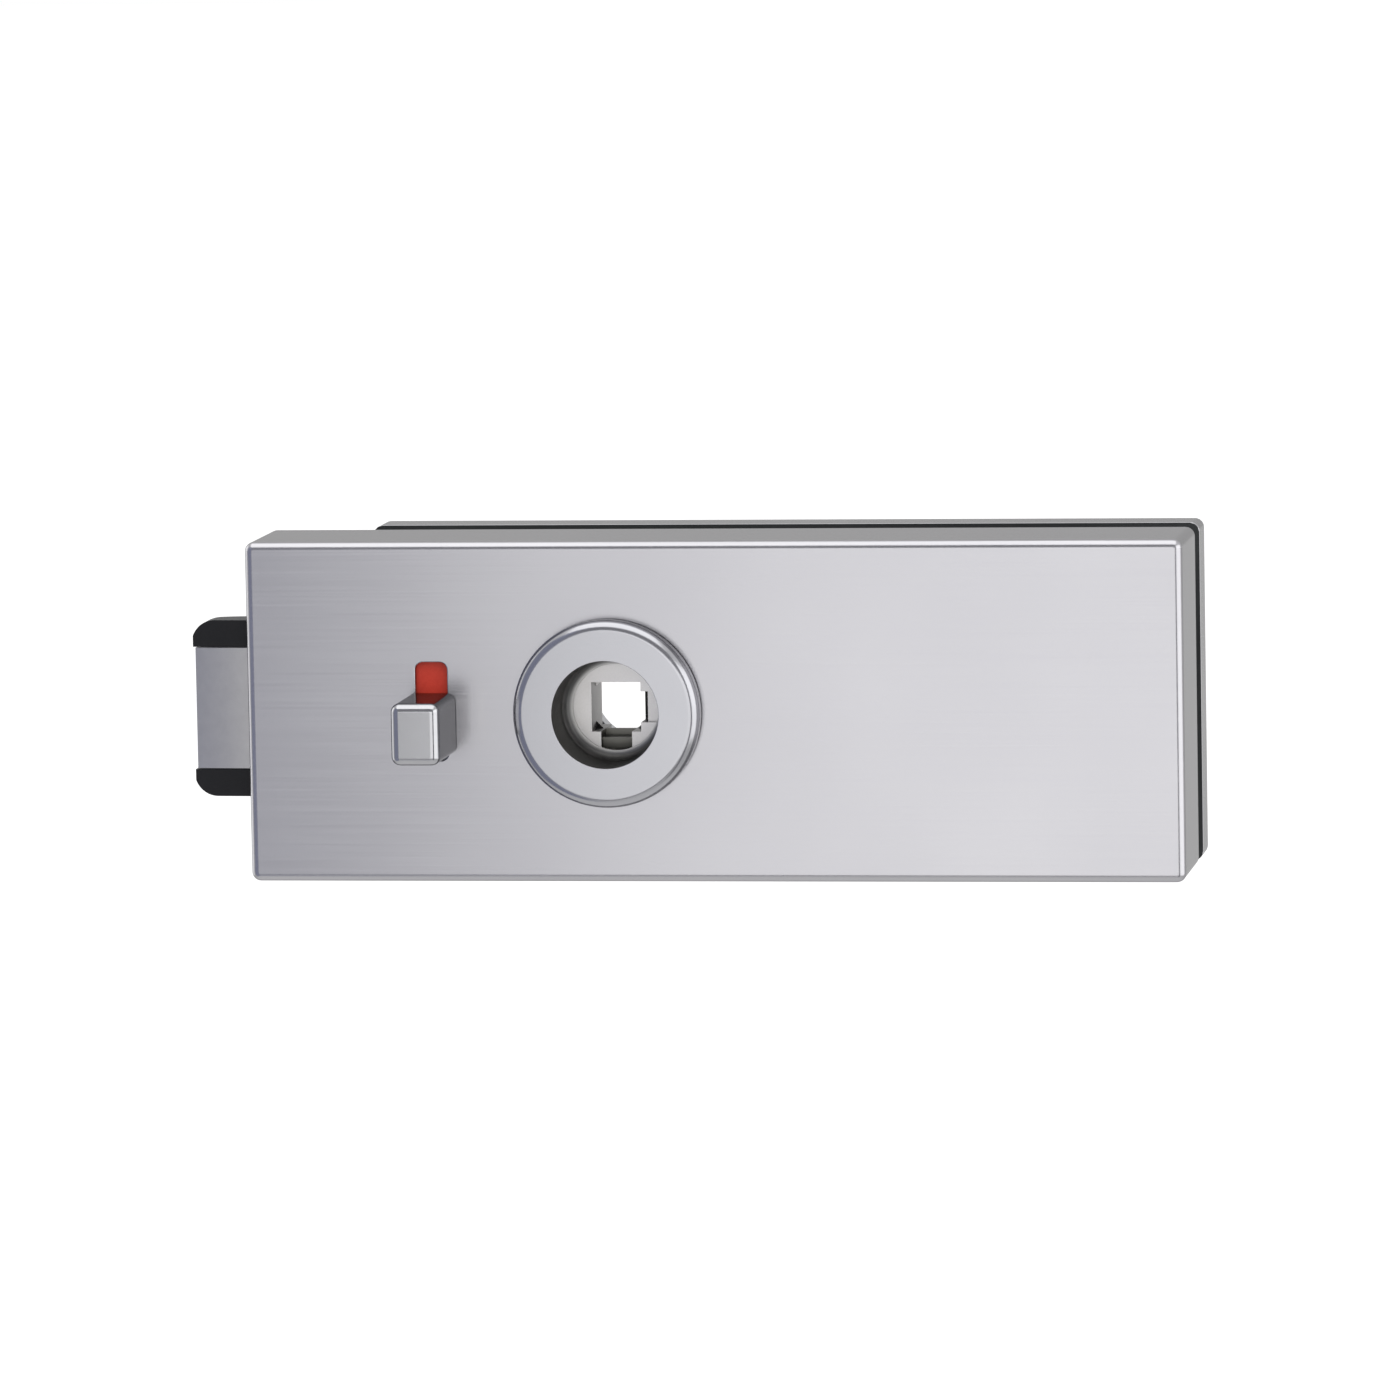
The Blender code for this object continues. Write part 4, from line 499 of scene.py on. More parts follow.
def finish(name, shades, roughness, grain, cloud, relief, sockets=(), about=None, painted_shade=None):
    """Principled material whose shade, roughness and relief follow one grain.

    shades: darker and lighter sRGB colour; roughness: its lowest and highest value;
    grain: size of a mark in mm along x, d and z, or the spacing of turned marks;
    cloud: size in mm of the slow unevenness; relief: height of a mark in mm;
    about: (x, z) of the axis that the marks were turned round;
    painted_shade: (radius in mm, share of the shade left there), painted shade listed from the axis
    outwards.
    """
    material = bpy.data.materials.new(name)
    material.use_nodes = True
    tree = material.node_tree
    shader = tree.nodes["Principled BSDF"]
    for socket, value in dict(sockets).items():
        shader.inputs[socket].default_value = value
    place = add(tree, "ShaderNodeTexCoord").outputs["Object"]
    if about is None:
        marks = add(tree, "ShaderNodeMapping", {"Scale": [1 / (size * MM) for size in grain]},
                    {"Vector": place})
        fine = add(tree, "ShaderNodeTexNoise",
                   {"Scale": 1.0, "Detail": FINE_DETAIL, "Roughness": FINE_ROUGHNESS},
                   {"Vector": marks.outputs["Vector"]})
    else:
        reach = reach_from(tree, place, about)
        fine = add(tree, "ShaderNodeTexNoise",
                   {"noise_dimensions": "1D", "Scale": 1 / (grain * MM), "Detail": FINE_DETAIL},
                   {"W": reach})
    slow = add(tree, "ShaderNodeTexNoise", {"Scale": 1 / (cloud * MM), "Detail": CLOUD_DETAIL},
               {"Vector": place})
    mixed = add(tree, "ShaderNodeMix", {"Factor": CLOUD_SHARE},
                {"A": fine.outputs[0], "B": slow.outputs[0]})
    colour = add(tree, "ShaderNodeValToRGB",
                 {"stops": zip(SHADE_ENDS, (linear(code) for code in shades))},
                 {"Fac": mixed.outputs[0]})
    rough = add(tree, "ShaderNodeMapRange",
                {"From Min": ROUGH_ENDS[0], "From Max": ROUGH_ENDS[1],
                 "To Min": roughness[0], "To Max": roughness[1]},
                {"Value": fine.outputs[0]})
    bump = add(tree, "ShaderNodeBump", {"Strength": 1.0, "Distance": relief * MM},
               {"Height": fine.outputs[0]})
    shade = colour.outputs["Color"]
    # Painted shade: the colour is darkened by distance from the axis, where a recess holds shade.
    if painted_shade is not None:
        shade = paint_shade_by_reach(tree, shade, reach, painted_shade)
    tree.links.new(shade, shader.inputs["Base Color"])
    tree.links.new(rough.outputs["Result"], shader.inputs["Roughness"])
    tree.links.new(bump.outputs["Normal"], shader.inputs["Normal"])
    return material


METAL = {"Metallic": 1.0}
# Reflectance near grazing: the satin flanks stay as grey as the faces, and the roses go lighter.
EVEN_EDGE = METAL | {"Specular Tint": linear("#C2C2C1")}
BRIGHT_EDGE = METAL | {"Specular Tint": linear("#F2F2F2")}

# Stainless steel sheet, belt brushed along the lock: long soft streaks in an even satin grey.
# Real brush marks are about 0.1 mm apart; they are drawn 0.3 mm apart, and show in low light.
brushed_steel = finish(
    "brushed_stainless_steel", ("#A8A7AB", "#B2B1B4"), (0.22, 0.27), (45.0, 0.3, 0.3), 45.0,
    0.0004, EVEN_EDGE)
# Stainless steel bar, turned on its face: faint rings round the spindle, a little smoother.
# Real turning marks are about 0.1 mm apart; they are drawn 0.35 mm apart.
turned_steel = finish(
    "turned_stainless_steel", ("#A2A2A6", "#A7A7AB"), (0.18, 0.22), 0.35, 20.0, 0.0001,
    BRIGHT_EDGE, SPINDLE)
# The same bar in the release disc, turned round its own axis and left a little rougher.
release_steel = finish(
    "turned_release_steel", ("#9C9CA1", "#A4A4A9"), (0.26, 0.30), 0.35, 20.0, 0.0003,
    BRIGHT_EDGE, RELEASE)
# The recess of the rose, bored and left dull, with painted shade where the recess holds shade:
# most of all in the corner of the recess, and less and less up its wall.
bored_steel = finish(
    "bored_stainless_steel_with_painted_shade", ("#C1C0BE", "#C9C8C7"), (0.36, 0.42), 0.3, 8.0, 0.0003,
    METAL | {"Specular Tint": linear("#5C5C5C")}, SPINDLE,
    ((8.92, 0.85), (9.2, 0.55), (9.85, 0.22), (10.3, 0.28), (11.05, 0.72)))
# Zinc die casting with satin chrome: smooth, with only a slight grain under the plating.
satin_chrome = finish(
    "satin_chromed_zinc", ("#A5A5A8", "#ACACAF"), (0.13, 0.17), (0.5, 0.5, 0.5), 8.0, 0.0002,
    METAL | {"Specular Tint": linear("#A9A9A9")})
# Bare zinc die casting, tumbled smooth: even and faintly warm, with a very shallow unevenness.
tumbled_zinc = finish(
    "tumbled_zinc_casting", ("#B8B6B3", "#BEBCB9"), (0.28, 0.30), (1.5, 1.5, 1.5), 9.0, 0.0003,
    METAL)
# The same casting in the follower, painted lighter against the shade of the rose's recess, so that
# the disc stands out.
lightened_zinc = finish(
    "zinc_casting_painted_lighter", ("#D2D0CF", "#DBD9D8"), (0.40, 0.48), (0.4, 0.4, 0.4), 9.0, 0.0012,
    METAL)
# Walls of the follower's square hole, left as cast: as dull as the lightened face, and darker.
dull_zinc = finish(
    "as_cast_zinc", ("#BBB9B7", "#C5C3C1"), (0.42, 0.50), (0.4, 0.4, 0.4), 9.0, 0.0012, METAL)
# Zinc of the follower's low groove in painted shade: olive grey, and darker towards its rim.
groove_painted_shade = finish(
    "zinc_with_painted_shade_in_groove", ("#72716C", "#7C7B76"), (0.35, 0.45), 0.5, 3.0, 0.002,
    METAL, SPINDLE, ((6.3, 1.0), (8.9, 0.16)))
# Painted shade on the front of the follower's web: near black and faintly olive, semi-wet.
web_painted_shade = finish(
    "near_black_painted_shade_on_web", ("#10100F", "#191917"), (0.30, 0.45), (0.8, 0.8, 0.8), 3.0, 0.006,
    {"IOR": 1.47, "Specular IOR Level": 0.2})
# Pressed steel, bright zinc plated: cool grey with faint blotches of the plating bath.
zinc_plated_steel = finish(
    "zinc_plated_steel", ("#8F9398", "#A3A7AC"), (0.28, 0.42), (1.2, 1.2, 1.2), 12.0, 0.001,
    METAL)
# Hard-drawn spring wire: dark, with a fine grain along the spring.
drawn_wire = finish(
    "hard_drawn_spring_wire", ("#6C6C70", "#84848A"), (0.25, 0.36), (0.3, 0.1, 0.1), 3.0, 0.0005,
    METAL)
# Glass-filled polyamide, moulded: near black and satin, with a fine eroded texture.
black_polyamide = finish(
    "moulded_black_polyamide", ("#18181A", "#202022"), (0.40, 0.50), (0.25, 0.25, 0.25), 6.0,
    0.002, {"IOR": 1.53, "Specular IOR Level": 0.16})
# Acetal, moulded: off-white, waxy and opaque.
white_acetal = finish(
    "moulded_white_acetal", ("#E2E1DB", "#EAE9E4"), (0.35, 0.42), (0.4, 0.4, 0.4), 8.0, 0.001,
    {"IOR": 1.48})
# EPDM sheet, calendered: dull charcoal with a fine rubber grit and no highlights.
rubber_sheet = finish(
    "calendered_epdm_sheet", ("#2C2D2E", "#383A3B"), (0.75, 0.9), (0.3, 0.3, 0.3), 10.0, 0.004,
    {"IOR": 1.5, "Specular IOR Level": 0.15})
# Red and green enamel, sprayed on a small steel plate: even colour under a satin skin.
red_enamel = finish(
    "sprayed_red_enamel", ("#B83425", "#C23C2C"), (0.32, 0.4), (0.6, 0.6, 0.6), 5.0, 0.0015,
    {"IOR": 1.5, "Specular IOR Level": 0.2})
green_enamel = finish(
    "sprayed_green_enamel", ("#2C8446", "#349150"), (0.32, 0.4), (0.6, 0.6, 0.6), 5.0, 0.0015,
    {"IOR": 1.5, "Specular IOR Level": 0.2})

SLOT_FINISHES = {
    "satin_case": brushed_steel,
    "satin_rose": turned_steel,
    "cast_zinc": tumbled_zinc,
    "steel": zinc_plated_steel,
    "spring_wire": drawn_wire,
    "black_plastic": black_polyamide,
    "white_plastic": white_acetal,
    "gasket_rubber": rubber_sheet,
    "red_paint": red_enamel,
    "green_paint": green_enamel,
}


def dress_frame():
    """Every CAD node that stays gets the material of its slot."""
    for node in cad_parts.values():
        for slot in node.material_slots:
            slot.material = SLOT_FINISHES[slot.material.name.split(".")[0]]


# Case and cover
def shell(name, x_span, face, rim, edge, wall, face_wall):
    """Open box with a rounded edge round its face, hollow from the rim."""
    inwards = 1 if rim > face else -1
    rings = []
    for inset, sunk in rounding(edge, EDGE_STEPS):
        outline = rect(x_span, FULL_HEIGHT, BODY_CORNER - inset, inset)
        rings.append(ring(outline, face + inwards * sunk))
    near_rim = rim - inwards * RIM_BREAK
    for inset, corner, level in (
        (0.0, BODY_CORNER, near_rim),
        (RIM_BREAK, BODY_CORNER - RIM_BREAK, rim),
        (wall - RIM_BREAK, CAVITY_CORNER + RIM_BREAK, rim),
        (wall, CAVITY_CORNER, near_rim),
        (wall, CAVITY_CORNER, face + inwards * face_wall),
    ):
        rings.append(ring(rect(x_span, FULL_HEIGHT, corner, inset), level))
    return solid(name, rings)


def make_front_case():
    case = shell("front_case_shell", CASE_SPAN, 0.0, CASE_DEPTH, CASE_EDGE, CASE_WALL,
                 CASE_FRONT_WALL)
    inner = CASE_FRONT_WALL + OVERRUN
    slot_x = span(SNIB_X, SLOT_HALF_WIDTH)
    pocket_x = span(SNIB_X, POCKET_HALF_WIDTH)
    pocket_z = span(0.0, POCKET_HALF_HEIGHT)
    mouth_z = span(0.0, MOUTH_HALF_HEIGHT)
    slot = flared(lambda grown: rect(slot_x, SLOT_Z, SLOT_CORNER + grown, -grown), 0.0, 1, inner)
    mouth = flared(lambda grown: rect(MOUTH_D, mouth_z, MOUTH_CORNER + grown, -grown),
                   -HALF_LENGTH, 1, -HALF_LENGTH + CASE_WALL + OVERRUN, "x")
    cut(case,
        block(pocket_x, (POCKET_FRONT, inner), pocket_z),
        slot,
        drill(*SPINDLE, CASE_ROSE_HOLE_R, (-OVERRUN, inner)),
        mouth,
        *grub_holes(CASE_GRUBS, CASE_WALL),
        *[drill(SNIB_X, z, TRACK_SCREW_R, (TRACK_SCREW_FRONT, inner))
          for z in span(0.0, TRACK_SCREW_Z)])
    dress(case, "frame", "satin_case", brushed_steel, "front_case")


def make_back_cover():
    cover = shell("back_cover_shell", COVER_SPAN, COVER_BACK, COVER_FRONT, COVER_EDGE,
                  COVER_WALL, COVER_BACK_WALL)
    inner = COVER_BACK - COVER_BACK_WALL - OVERRUN
    cut(cover,
        drill(*SPINDLE, COVER_ROSE_HOLE_R, (inner, COVER_BACK + OVERRUN)),
        flared(lambda grown: circle(*RELEASE, RELEASE_HOLE_R + grown), COVER_BACK, -1, inner),
        *grub_holes(COVER_GRUBS, COVER_WALL))
    dress(cover, "frame", "satin_case", brushed_steel, "back_cover")


# Roses
def make_front_rose():
    profile = filleted([
        (ROSE_BORE_R, ROSE_FACE, ROSE_BORE_EDGE), (ROSE_R, ROSE_FACE, ROSE_EDGE),
        (ROSE_R, ROSE_FOOT, ROSE_FOOT_EDGE), (ROSE_SEAT_R, ROSE_FOOT, 0),
        (ROSE_SEAT_R, ROSE_BACK, 0), (ROSE_SLEEVE_R, ROSE_BACK, 0),
        (ROSE_SLEEVE_R, ROSE_SLEEVE_END, RIM_BREAK),
        (ROSE_SLEEVE_BORE_R, ROSE_SLEEVE_END, RIM_BREAK),
        (ROSE_SLEEVE_BORE_R, ROSE_LIP[1], 0), (ROSE_LIP_R, ROSE_LIP[1], 0),
        (ROSE_LIP_R, ROSE_LIP[0], 0), (ROSE_BORE_R, ROSE_LIP[0], RECESS_CORNER),
    ], 2 * EDGE_STEPS)
    rose = turned("front_rose_ring", *SPINDLE, profile)
    dress(rose, "frame", "satin_rose", turned_steel, "front_rose")
    bore_recess(rose)


def bore_recess(rose):
    """Gives the bore and the floor of a rose their bored finish, with its painted shade."""
    rose.data.materials.append(bored_steel)
    margin = 0.02
    for face in rose.data.polygons:
        place = (face.center - at(SPINDLE_X, 0.0, 0.0)) / MM
        if math.hypot(place.x, place.z) < ROSE_BORE_R + margin:
            face.material_index = 1


def make_back_rose():
    front, back = REAR_ROSE
    spigot = COVER_BACK - REAR_SPIGOT_LENGTH
    profile = filleted([
        (ROSE_BORE_R, back, REAR_ROSE_BORE_EDGE), (ROSE_BORE_R, spigot, RIM_BREAK),
        (REAR_SPIGOT_R, spigot, RIM_BREAK), (REAR_SPIGOT_R, front, 0),
        (ROSE_R, front, REAR_ROSE_SEAT_EDGE), (ROSE_R, back, REAR_ROSE_EDGE),
    ], EDGE_STEPS)
    rose = turned("back_rose_ring", *SPINDLE, profile)
    dress(rose, "frame", "satin_rose", turned_steel, "back_rose")


# Follower
def make_follower():
    front, back = HUB_FLANGE
    profile = [
        (HUB_R - HUB_FACE_BREAK, HUB_FACE), (HUB_R, HUB_FACE + HUB_FACE_BREAK), (HUB_R, front),
        (HUB_FLANGE_R - RIM_BREAK, front), (HUB_FLANGE_R, front + RIM_BREAK),
        (HUB_FLANGE_R, back - RIM_BREAK), (HUB_FLANGE_R - RIM_BREAK, back),
        (HUB_R, back), (HUB_R, HUB_BACK - HUB_BACK_BREAK), (HUB_R - HUB_BACK_BREAK, HUB_BACK),
    ]
    hub = turned("follower_hub", *SPINDLE, profile, False)
    weld(hub, *[solid("tool", [ring(bar(SPINDLE, end, half_width), d) for d in HUB_PLATE])
                for end, half_width in ((ARM_PIN, ARM_HALF_WIDTH), (EAR_END, EAR_HALF_WIDTH))])
    square_x = span(SPINDLE_X, HALF_SQUARE)
    square_z = span(0.0, HALF_SQUARE)
    groove_x = span(SPINDLE_X, HALF_GROOVE)
    groove_z = span(0.0, HALF_GROOVE)
    before = HUB_FACE - OVERRUN
    beyond = HUB_R + OVERRUN
    front_d = (before, HUB_WEB[0])
    back_d = (HUB_WEB[1], HUB_BACK + OVERRUN)
    web_d = (HUB_WEB[0] - WEB_OVERRUN, HUB_WEB[1] + WEB_OVERRUN)
    recess_d = (before, HUB_FACE + FACE_RECESS)
    cut(hub,
        drill(*ARM_PIN, ARM_PIN_R, (HUB_PLATE[0] - OVERRUN, HUB_PLATE[1] + OVERRUN)),
        block(square_x, front_d, square_z),
        block(square_x, back_d, square_z),
        solid("tool", [ring(web_outline(), d) for d in web_d]),
        block((SPINDLE_X, SPINDLE_X + GROOVE_REACH), front_d, groove_z),
        block(groove_x, front_d, (-GROOVE_REACH, 0)),
        block(groove_x, back_d, (-GROOVE_REACH, 0)),
        block((SPINDLE_X, SPINDLE_X + beyond), recess_d, groove_z),
        block(groove_x, recess_d, (-beyond, 0)))
    ease(hub, HUB_EASE)
    dress(hub, "follower", "cast_zinc", lightened_zinc, "hub")
    paint_groove_shade(hub)


def web_outline():
    """Square of the follower's web with its corners cut off."""
    far, near = HALF_SQUARE, HALF_SQUARE - WEB_CORNER
    corners = [(far, near), (near, far), (-near, far), (-far, near),
               (-far, -near), (-near, -far), (near, -far), (far, -near)]
    return [(SPINDLE_X + u, v) for u, v in corners]


def paint_groove_shade(hub):
    """Painted shade on the front of the web and on the low groove, and dull walls in the hole."""
    hub.data.materials.append(web_painted_shade)
    hub.data.materials.append(groove_painted_shade)
    hub.data.materials.append(dull_zinc)
    margin = 0.1
    for face in hub.data.polygons:
        place = (face.center - at(SPINDLE_X, 0.0, 0.0)) / MM
        low = (place.z < -HALF_SQUARE and abs(place.x) < HALF_GROOVE + LIP
               and math.hypot(place.x, place.z) < HUB_R - margin
               and HUB_FACE + LIP < place.y < HUB_BACK - margin)
        # Index 2 is the low groove in painted shade, index 1 the web's front in near black painted
        # shade.
        if low:
            face.material_index = 2
        elif (abs(place.y - HUB_WEB[0]) < margin and abs(place.x) < GROOVE_REACH
              and -GROOVE_REACH < place.z < HALF_GROOVE):
            face.material_index = 1
        elif abs(face.normal.y) < 0.5 and max(abs(place.x), abs(place.z)) < GROOVE_REACH + LIP:
            face.material_index = 3


# Thumb slide and its plates
def make_thumb_slide():
    x_span = span(SNIB_X, KNOB_HALF)
    stem_x = span(SNIB_X, STEM_HALF)
    stem_z = (KNOB_Z[0] + STEM_INSET, KNOB_Z[1] - STEM_INSET)
    rings = [ring(rect(x_span, KNOB_Z, KNOB_CORNER - inset, inset), KNOB_FACE + sunk)
             for inset, sunk in rounding(KNOB_EDGE, EDGE_STEPS)]
    rings += [
        ring(rect(x_span, KNOB_Z, KNOB_CORNER), KNOB_FOOT - RIM_BREAK),
        ring(rect(x_span, KNOB_Z, KNOB_CORNER - RIM_BREAK, RIM_BREAK), KNOB_FOOT),
        ring(rect(stem_x, stem_z, STEM_CORNER), KNOB_FOOT),
        ring(rect(stem_x, stem_z, STEM_CORNER), STEM_BACK),
    ]
    knob = solid("thumb_slide", rings)
    cut(knob, drill(SNIB_X, sum(KNOB_Z) / 2, KNOB_SCREW_R, (KNOB_SCREW_TIP, STEM_BACK + OVERRUN)))
    dress(knob, "snib", "satin_case", satin_chrome, "snib_knob")


def make_indicator(name, z_span, slot, material, node):
    x_span = span(SNIB_X, PLATE_HALF)
    front, back = PLATE_D
    rings = [
        ring(rect(x_span, z_span, PLATE_FACE_CORNER, PLATE_BREAK), front),
        ring(rect(x_span, z_span, PLATE_CORNER), front + PLATE_BREAK),
        ring(rect(x_span, z_span, PLATE_CORNER), back),
    ]
    dress(solid(name, rings), "snib", slot, material, node)


# Spring latch
def bow(along, run, drop):
    """How far an arc has drawn away at a place, where it draws away by drop over its run."""
    radius = (run ** 2 + drop ** 2) / (2 * drop)
    return radius - math.sqrt(radius ** 2 - along ** 2)


def latch_plan(tip, front, z):
    """Plan of the latch at one height: front slightly bowed, back bevelled round to the tip."""
    points = [(LATCH_BACK, LATCH_D[1], z), (LATCH_BACK, front, z)]
    nose = LATCH_TIP + NOSE_RUN
    for step in range(NOSE_STEPS + 1):
        x = nose + (tip - nose) * step / NOSE_STEPS
        points.append((x, front + bow(nose - x, NOSE_RUN, NOSE_DROP), z))
    bevel = LATCH_TIP + BEVEL_RUN
    for step in range(NOSE_STEPS + 1):
        x = tip + (bevel - tip) * step / NOSE_STEPS
        points.append((x, LATCH_D[1] - bow(bevel - x, BEVEL_RUN, BEVEL_DROP), z))
    return points


def make_latch_core():
    front = LATCH_D[0] + CORE_SINK
    tip = LATCH_TIP + CORE_SETBACK
    core = solid("latch_bolt", [latch_plan(tip, front, z) for z in span(0.0, CORE_HALF)])
    slot_x = (LATCH_BACK - TAIL_SLOT_LENGTH, LATCH_BACK + OVERRUN)
    pin_x = LATCH_BACK - TAIL_PIN_SETBACK
    cut(core, block(slot_x, TAIL_SLOT_D, TAIL_SLOT_Z),
        *[drill(pin_x, z, TAIL_PIN_R, (front - OVERRUN, TAIL_PIN_BACK)) for z in TAIL_PIN_Z])
    ease(core, CORE_EASE)
    dress(core, "latch", "cast_zinc", tumbled_zinc, "latch_core")


def make_latch_caps():
    """Caps whose outer corner is rounded, with the first degrees of the arc cut off at the tip."""
    steps = 2 * CORNER_STEPS
    start = math.acos((CAP_CORNER - CAP_CORNER_CUT) / CAP_CORNER)
    levels = [(CAP_Z[0], LATCH_TIP)]
    for step in range(steps + 1):
        angle = start + (math.pi / 2 - start) * step / steps
        height = CAP_Z[1] - CAP_CORNER * (1 - math.sin(angle))
        levels.append((height, LATCH_TIP - CAP_CORNER_CUT + CAP_CORNER * (1 - math.cos(angle))))
    for side, name in ((1, "upper"), (-1, "lower")):
        rings = [latch_plan(cap_tip, LATCH_D[0], side * z) for z, cap_tip in levels]
        cap = solid(f"latch_cap_{name}_moulding", rings)
        ease(cap, RIM_BREAK)
        dress(cap, "latch", "black_plastic", black_polyamide, f"latch_cap_{name}")


# Springs
def coil(name, node, wire):
    """Compression spring along x in the place of its CAD node, with its end turns closed up."""
    wire_r, turns = wire[0] * MM, wire[1]
    low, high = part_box(node)
    middle = (low + high) / 2
    radius = (high.z - low.z) / 2 - wire_r
    closed = 2 * wire_r * CLOSED_PITCH
    active = (high.x - low.x - 2 * wire_r - 2 * closed) / (turns - 2)
    count = int(turns * WIRE_POINTS_PER_TURN)
    rings = []
    for i in range(count + 1):
        turn = turns * i / count
        along = closed * min(turn, 1) + active * min(max(turn - 1, 0), turns - 2)
        along += closed * max(turn - (turns - 1), 0)
        out = Vector((0, math.cos(math.tau * turn), math.sin(math.tau * turn)))
        spot = Vector((low.x + wire_r + along, middle.y, middle.z)) + out * radius
        around = [math.tau * k / WIRE_SIDES for k in range(WIRE_SIDES)]
        rings.append([spot + (out * math.cos(a) + Vector((math.sin(a), 0, 0))) * wire_r
                      for a in around])
    spring = skin(name, rings)
    smooth(spring)
    spring.data.materials.append(drawn_wire)
    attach(spring, "frame")
    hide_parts(node)
    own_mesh(spring)


def make_springs():
    for side in ("upper", "lower"):
        coil(f"latch_spring_{side}_coil", f"latch_spring_{side}", LATCH_SPRING)
    coil("hub_return_spring_coil", "hub_return_spring", HUB_SPRING)


# Small parts
def make_release_disc():
    x, z = RELEASE
    front, back = COLLAR_D
    profile = [
        (COLLAR_R - RIM_BREAK, front), (COLLAR_R, front + RIM_BREAK),
        (COLLAR_R, back - RIM_BREAK), (COLLAR_R - RIM_BREAK, back), (DISC_R, back),
    ]
    for inset, sunk in reversed(rounding(DISC_EDGE, EDGE_STEPS)):
        profile.append((DISC_R - inset, DISC_FACE - sunk))
    disc = turned("release_coin_disc", x, z, profile, False)
    cut(disc,
        block(span(x, COIN_SLOT_HALF_WIDTH), (COIN_SLOT_FLOOR, DISC_FACE + OVERRUN),
              span(z, COIN_SLOT_HALF_LENGTH)),
        drill(x, z, RELEASE_BORE_R, (front - OVERRUN, RELEASE_BORE_END)))
    ease(disc, DISC_EASE)
    dress(disc, "release", "satin_rose", release_steel, "release_disc")


def make_glass_bushes():
    front, back = BUSH_D
    profile = filleted([(BUSH_BORE_R, front, RIM_BREAK), (BUSH_R, front, BUSH_EDGE),
                        (BUSH_R, back, BUSH_EDGE), (BUSH_BORE_R, back, RIM_BREAK)])
    for number, (x, z) in enumerate(BUSH_PLACES, 1):
        bush = turned(f"glass_sleeve_{number}", x, z, profile, True, SMALL_SIDES)
        dress(bush, "frame", "white_plastic", white_acetal, f"glass_bush_{number}")


def make_grub_screws(places, family):
    """Set screws with a hexagon socket, seen in the holes of the lower faces."""
    low = -HALF_HEIGHT + GRUB_SINK
    for number, (x, d) in enumerate(places, 1):
        rings = [ring(hexagon(x, d, SOCKET_ACROSS), low + height, "z")
                 for height in SOCKET_HEIGHTS]
        rings += [ring(circle(x, d, radius, SMALL_SIDES), low + height, "z")
                  for radius, height in GRUB_PROFILE]
        screw = solid(f"{family}_socket_{number}", rings)
        dress(screw, "frame", "steel", zinc_plated_steel, f"{family}_{number}")


dress_frame()
make_front_case()
make_back_cover()
make_front_rose()
make_back_rose()
make_follower()
make_thumb_slide()
make_indicator("red_enamel_plate", RED_Z, "red_paint", red_enamel, "red_indicator")
make_indicator("green_enamel_plate", GREEN_Z, "green_paint", green_enamel, "green_indicator")
make_latch_core()
make_latch_caps()
make_springs()
make_release_disc()
make_glass_bushes()
make_grub_screws(CASE_GRUBS, "case_grub_screw")
make_grub_screws(COVER_GRUBS, "cover_grub_screw")


# Studio, in metres of the frame
FLOOR_DROP = 1.05
FLOOR_REACH = 30.0
FLOOR_ROUGHNESS = 0.9
FLOOR_IN_GLOSS = 0.05
FLOOR_IN_VIEW = 0.5
PLAIN_LEVEL = 0.8
WHITE = (1.0, 1.0, 1.0, 1.0)

# Lamps: name, place, the point that it faces, width, height, radiance where 1 is white
LAMPS = (
    ("front_softbox", (0.09, -0.86, -0.05), (0.09, 0.0, -0.05), 0.56, 0.44, 1.05),
    ("front_fill_softbox", (0.185, -0.86, -0.05), (0.185, 0.0, -0.05), 0.37, 0.44, 0.62),
    ("top_softbox", (0.0, -0.35, 1.05), CASE_FACE_CENTRE, 1.4, 1.7, 1.2),
    ("right_softbox", (1.1, -0.4, 0.1), CASE_FACE_CENTRE, 1.5, 1.2, 1.35),
    ("left_rim_softbox", (-1.0, 0.35, 0.1), CASE_FACE_CENTRE, 0.8, 1.2, 1.0),
)

# Panels that only gloss sees: name, shade, corners. The flags in front are darker than the
# studio, and draw the dark lines along the edges of the lock. Behind the lock, its faces that
# look right mirror the white card, and its top faces mirror the pale flag. The left flag is
# bluish, as the left edges of the knob and of the case are in the photograph.
PANELS = (
    ("left_flag", "#A7ABC0", ((-0.31, -0.96, -0.9), (-0.31, -0.96, 0.9),
                              (-1.0, -0.27, 0.9), (-1.0, -0.27, -0.9))),
    ("right_flag", "#84848A", ((0.42, -0.95, -0.9), (0.42, -0.95, 0.35),
                               (0.62, -0.8, 0.35), (0.62, -0.8, -0.9))),
    ("top_flag", "#A6A6AA", ((-0.35, -0.93, 0.2), (0.62, -0.93, 0.2),
                             (0.62, -0.6, 0.66), (-0.35, -0.6, 0.66))),
    ("bottom_flag", "#A8A8AC", ((-0.25, -0.93, -0.34), (0.62, -0.93, -0.34),
                                (0.62, -0.88, -0.44), (-0.25, -0.88, -0.44))),
    ("rear_low_card", "#FFFFFF", ((-0.3, 1.2, -0.6), (1.0, 1.2, -0.6),
                                  (1.0, 1.2, 0.03), (-0.3, 1.2, 0.03))),
    ("rear_high_flag", "#EBEBEB", ((-1.2, 1.2, 0.04), (1.2, 1.2, 0.04),
                                   (1.2, 1.2, 0.5), (-1.2, 1.2, 0.5))),
)

# Camera fitted to the straight edges and circles of the photograph
SENSOR_WIDTH = 36.0
FOCAL_LENGTH = 250.13
CAMERA_PLACE = CASE_FACE_CENTRE + Vector((0.29703, -1.94696, 0.22502))
CAMERA_RIGHT = (0.988525, 0.149971, -0.018060)
CAMERA_UP = (0.000903, 0.113691, 0.993516)
CAMERA_BACK = (0.151052, -0.982132, 0.112251)


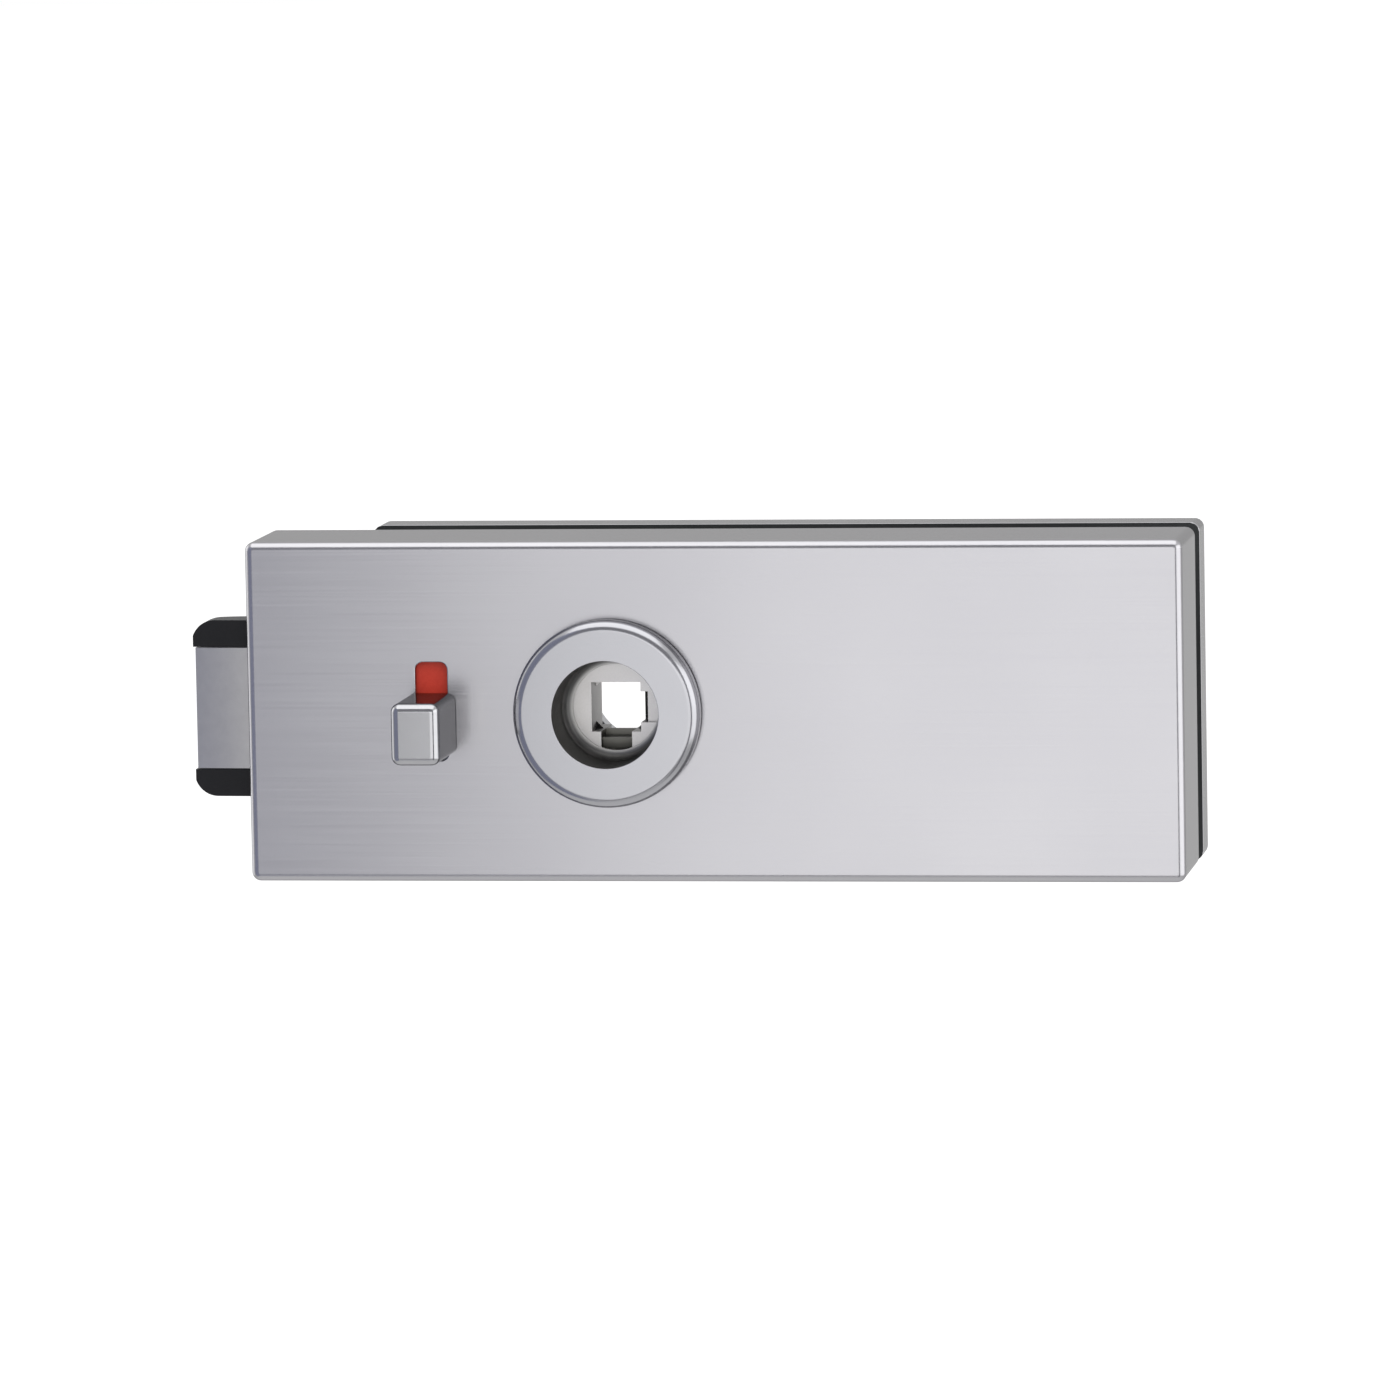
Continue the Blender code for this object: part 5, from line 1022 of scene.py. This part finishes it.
def seen_directly(tree):
    """1 for what the camera, a gloss or a glass sees, and 0 for light on matt surfaces."""
    path = add(tree, "ShaderNodeLightPath")
    some = add(tree, "ShaderNodeMath", {"operation": "MAXIMUM"},
               {0: path.outputs["Is Camera Ray"], 1: path.outputs["Is Glossy Ray"]})
    return add(tree, "ShaderNodeMath", {"operation": "MAXIMUM"},
               {0: some.outputs[0], 1: path.outputs["Is Transmission Ray"]}).outputs[0]


def make_world():
    """White studio all round, which lights matt surfaces at a plain level."""
    world = bpy.data.worlds.new("white_studio")
    world.use_nodes = True
    bpy.context.scene.world = world
    tree = world.node_tree
    level = add(tree, "ShaderNodeMapRange", {"To Min": PLAIN_LEVEL, "To Max": 1.0},
                {"Value": seen_directly(tree)})
    background = tree.nodes["Background"]
    background.inputs["Color"].default_value = WHITE
    tree.links.new(level.outputs["Result"], background.inputs["Strength"])


def panel(name, corners, material_name, sockets):
    """Flat panel of the studio in a plain material."""
    bm = bmesh.new()
    bm.faces.new([bm.verts.new(corner) for corner in corners])
    sheet = link_mesh(name, bm)
    material = bpy.data.materials.new(material_name)
    material.use_nodes = True
    shader = material.node_tree.nodes["Principled BSDF"]
    for socket, value in sockets.items():
        shader.inputs[socket].default_value = value
    sheet.data.materials.append(material)
    return sheet


def make_floor():
    """Pale studio floor, as far below as a lock sits on its door."""
    corners = [(u * FLOOR_REACH, v * FLOOR_REACH, -FLOOR_DROP)
               for u, v in ((-1, -1), (1, -1), (1, 1), (-1, 1))]
    floor = panel("studio_floor", corners, "pale_studio_floor", {
        "Base Color": linear("#E6E6E6"), "Roughness": FLOOR_ROUGHNESS, "Emission Color": WHITE})
    tree = floor.data.materials[0].node_tree
    level = add(tree, "ShaderNodeMapRange", {"To Min": FLOOR_IN_GLOSS, "To Max": FLOOR_IN_VIEW},
                {"Value": add(tree, "ShaderNodeLightPath").outputs["Is Camera Ray"]})
    fill = add(tree, "ShaderNodeMath", {"operation": "MULTIPLY"},
               {0: level.outputs["Result"], 1: seen_directly(tree)})
    tree.links.new(fill.outputs[0], tree.nodes["Principled BSDF"].inputs["Emission Strength"])


def make_panels():
    """Darker and lighter bands of the studio, which shape the reflections in the metal."""
    for name, shade, corners in PANELS:
        sheet = panel(name, corners, name + "_face", {
            "Base Color": linear("#000000"), "Specular IOR Level": 0.0,
            "Emission Color": linear(shade), "Emission Strength": 1.0})
        sheet.visible_camera = False
        sheet.visible_diffuse = False
        sheet.visible_shadow = False


def make_lights():
    for name, place, target, width, height, radiance in LAMPS:
        lamp = bpy.data.lights.new(name, "AREA")
        lamp.shape = "RECTANGLE"
        lamp.size = width
        lamp.size_y = height
        lamp.energy = radiance * math.pi * width * height
        holder = bpy.data.objects.new(name, lamp)
        bpy.context.scene.collection.objects.link(holder)
        aim = (Vector(target) - Vector(place)).to_track_quat("-Z", "Y")
        holder.matrix_world = Matrix.Translation(place) @ aim.to_matrix().to_4x4()
        holder.visible_camera = False


def make_camera():
    """Long lens a little right of the lock and above it, as in the photograph."""
    data = bpy.data.cameras.new("photo_camera")
    data.sensor_width = SENSOR_WIDTH
    data.lens = FOCAL_LENGTH
    camera = bpy.data.objects.new("photo_camera", data)
    columns = (CAMERA_RIGHT, CAMERA_UP, CAMERA_BACK, CAMERA_PLACE)
    camera.matrix_world = Matrix(tuple(zip(*columns))).to_4x4()
    bpy.context.scene.collection.objects.link(camera)
    bpy.context.scene.camera = camera


make_world()
make_floor()
make_lights()
make_panels()
make_camera()
bpy.context.scene.view_settings.view_transform = "Standard"
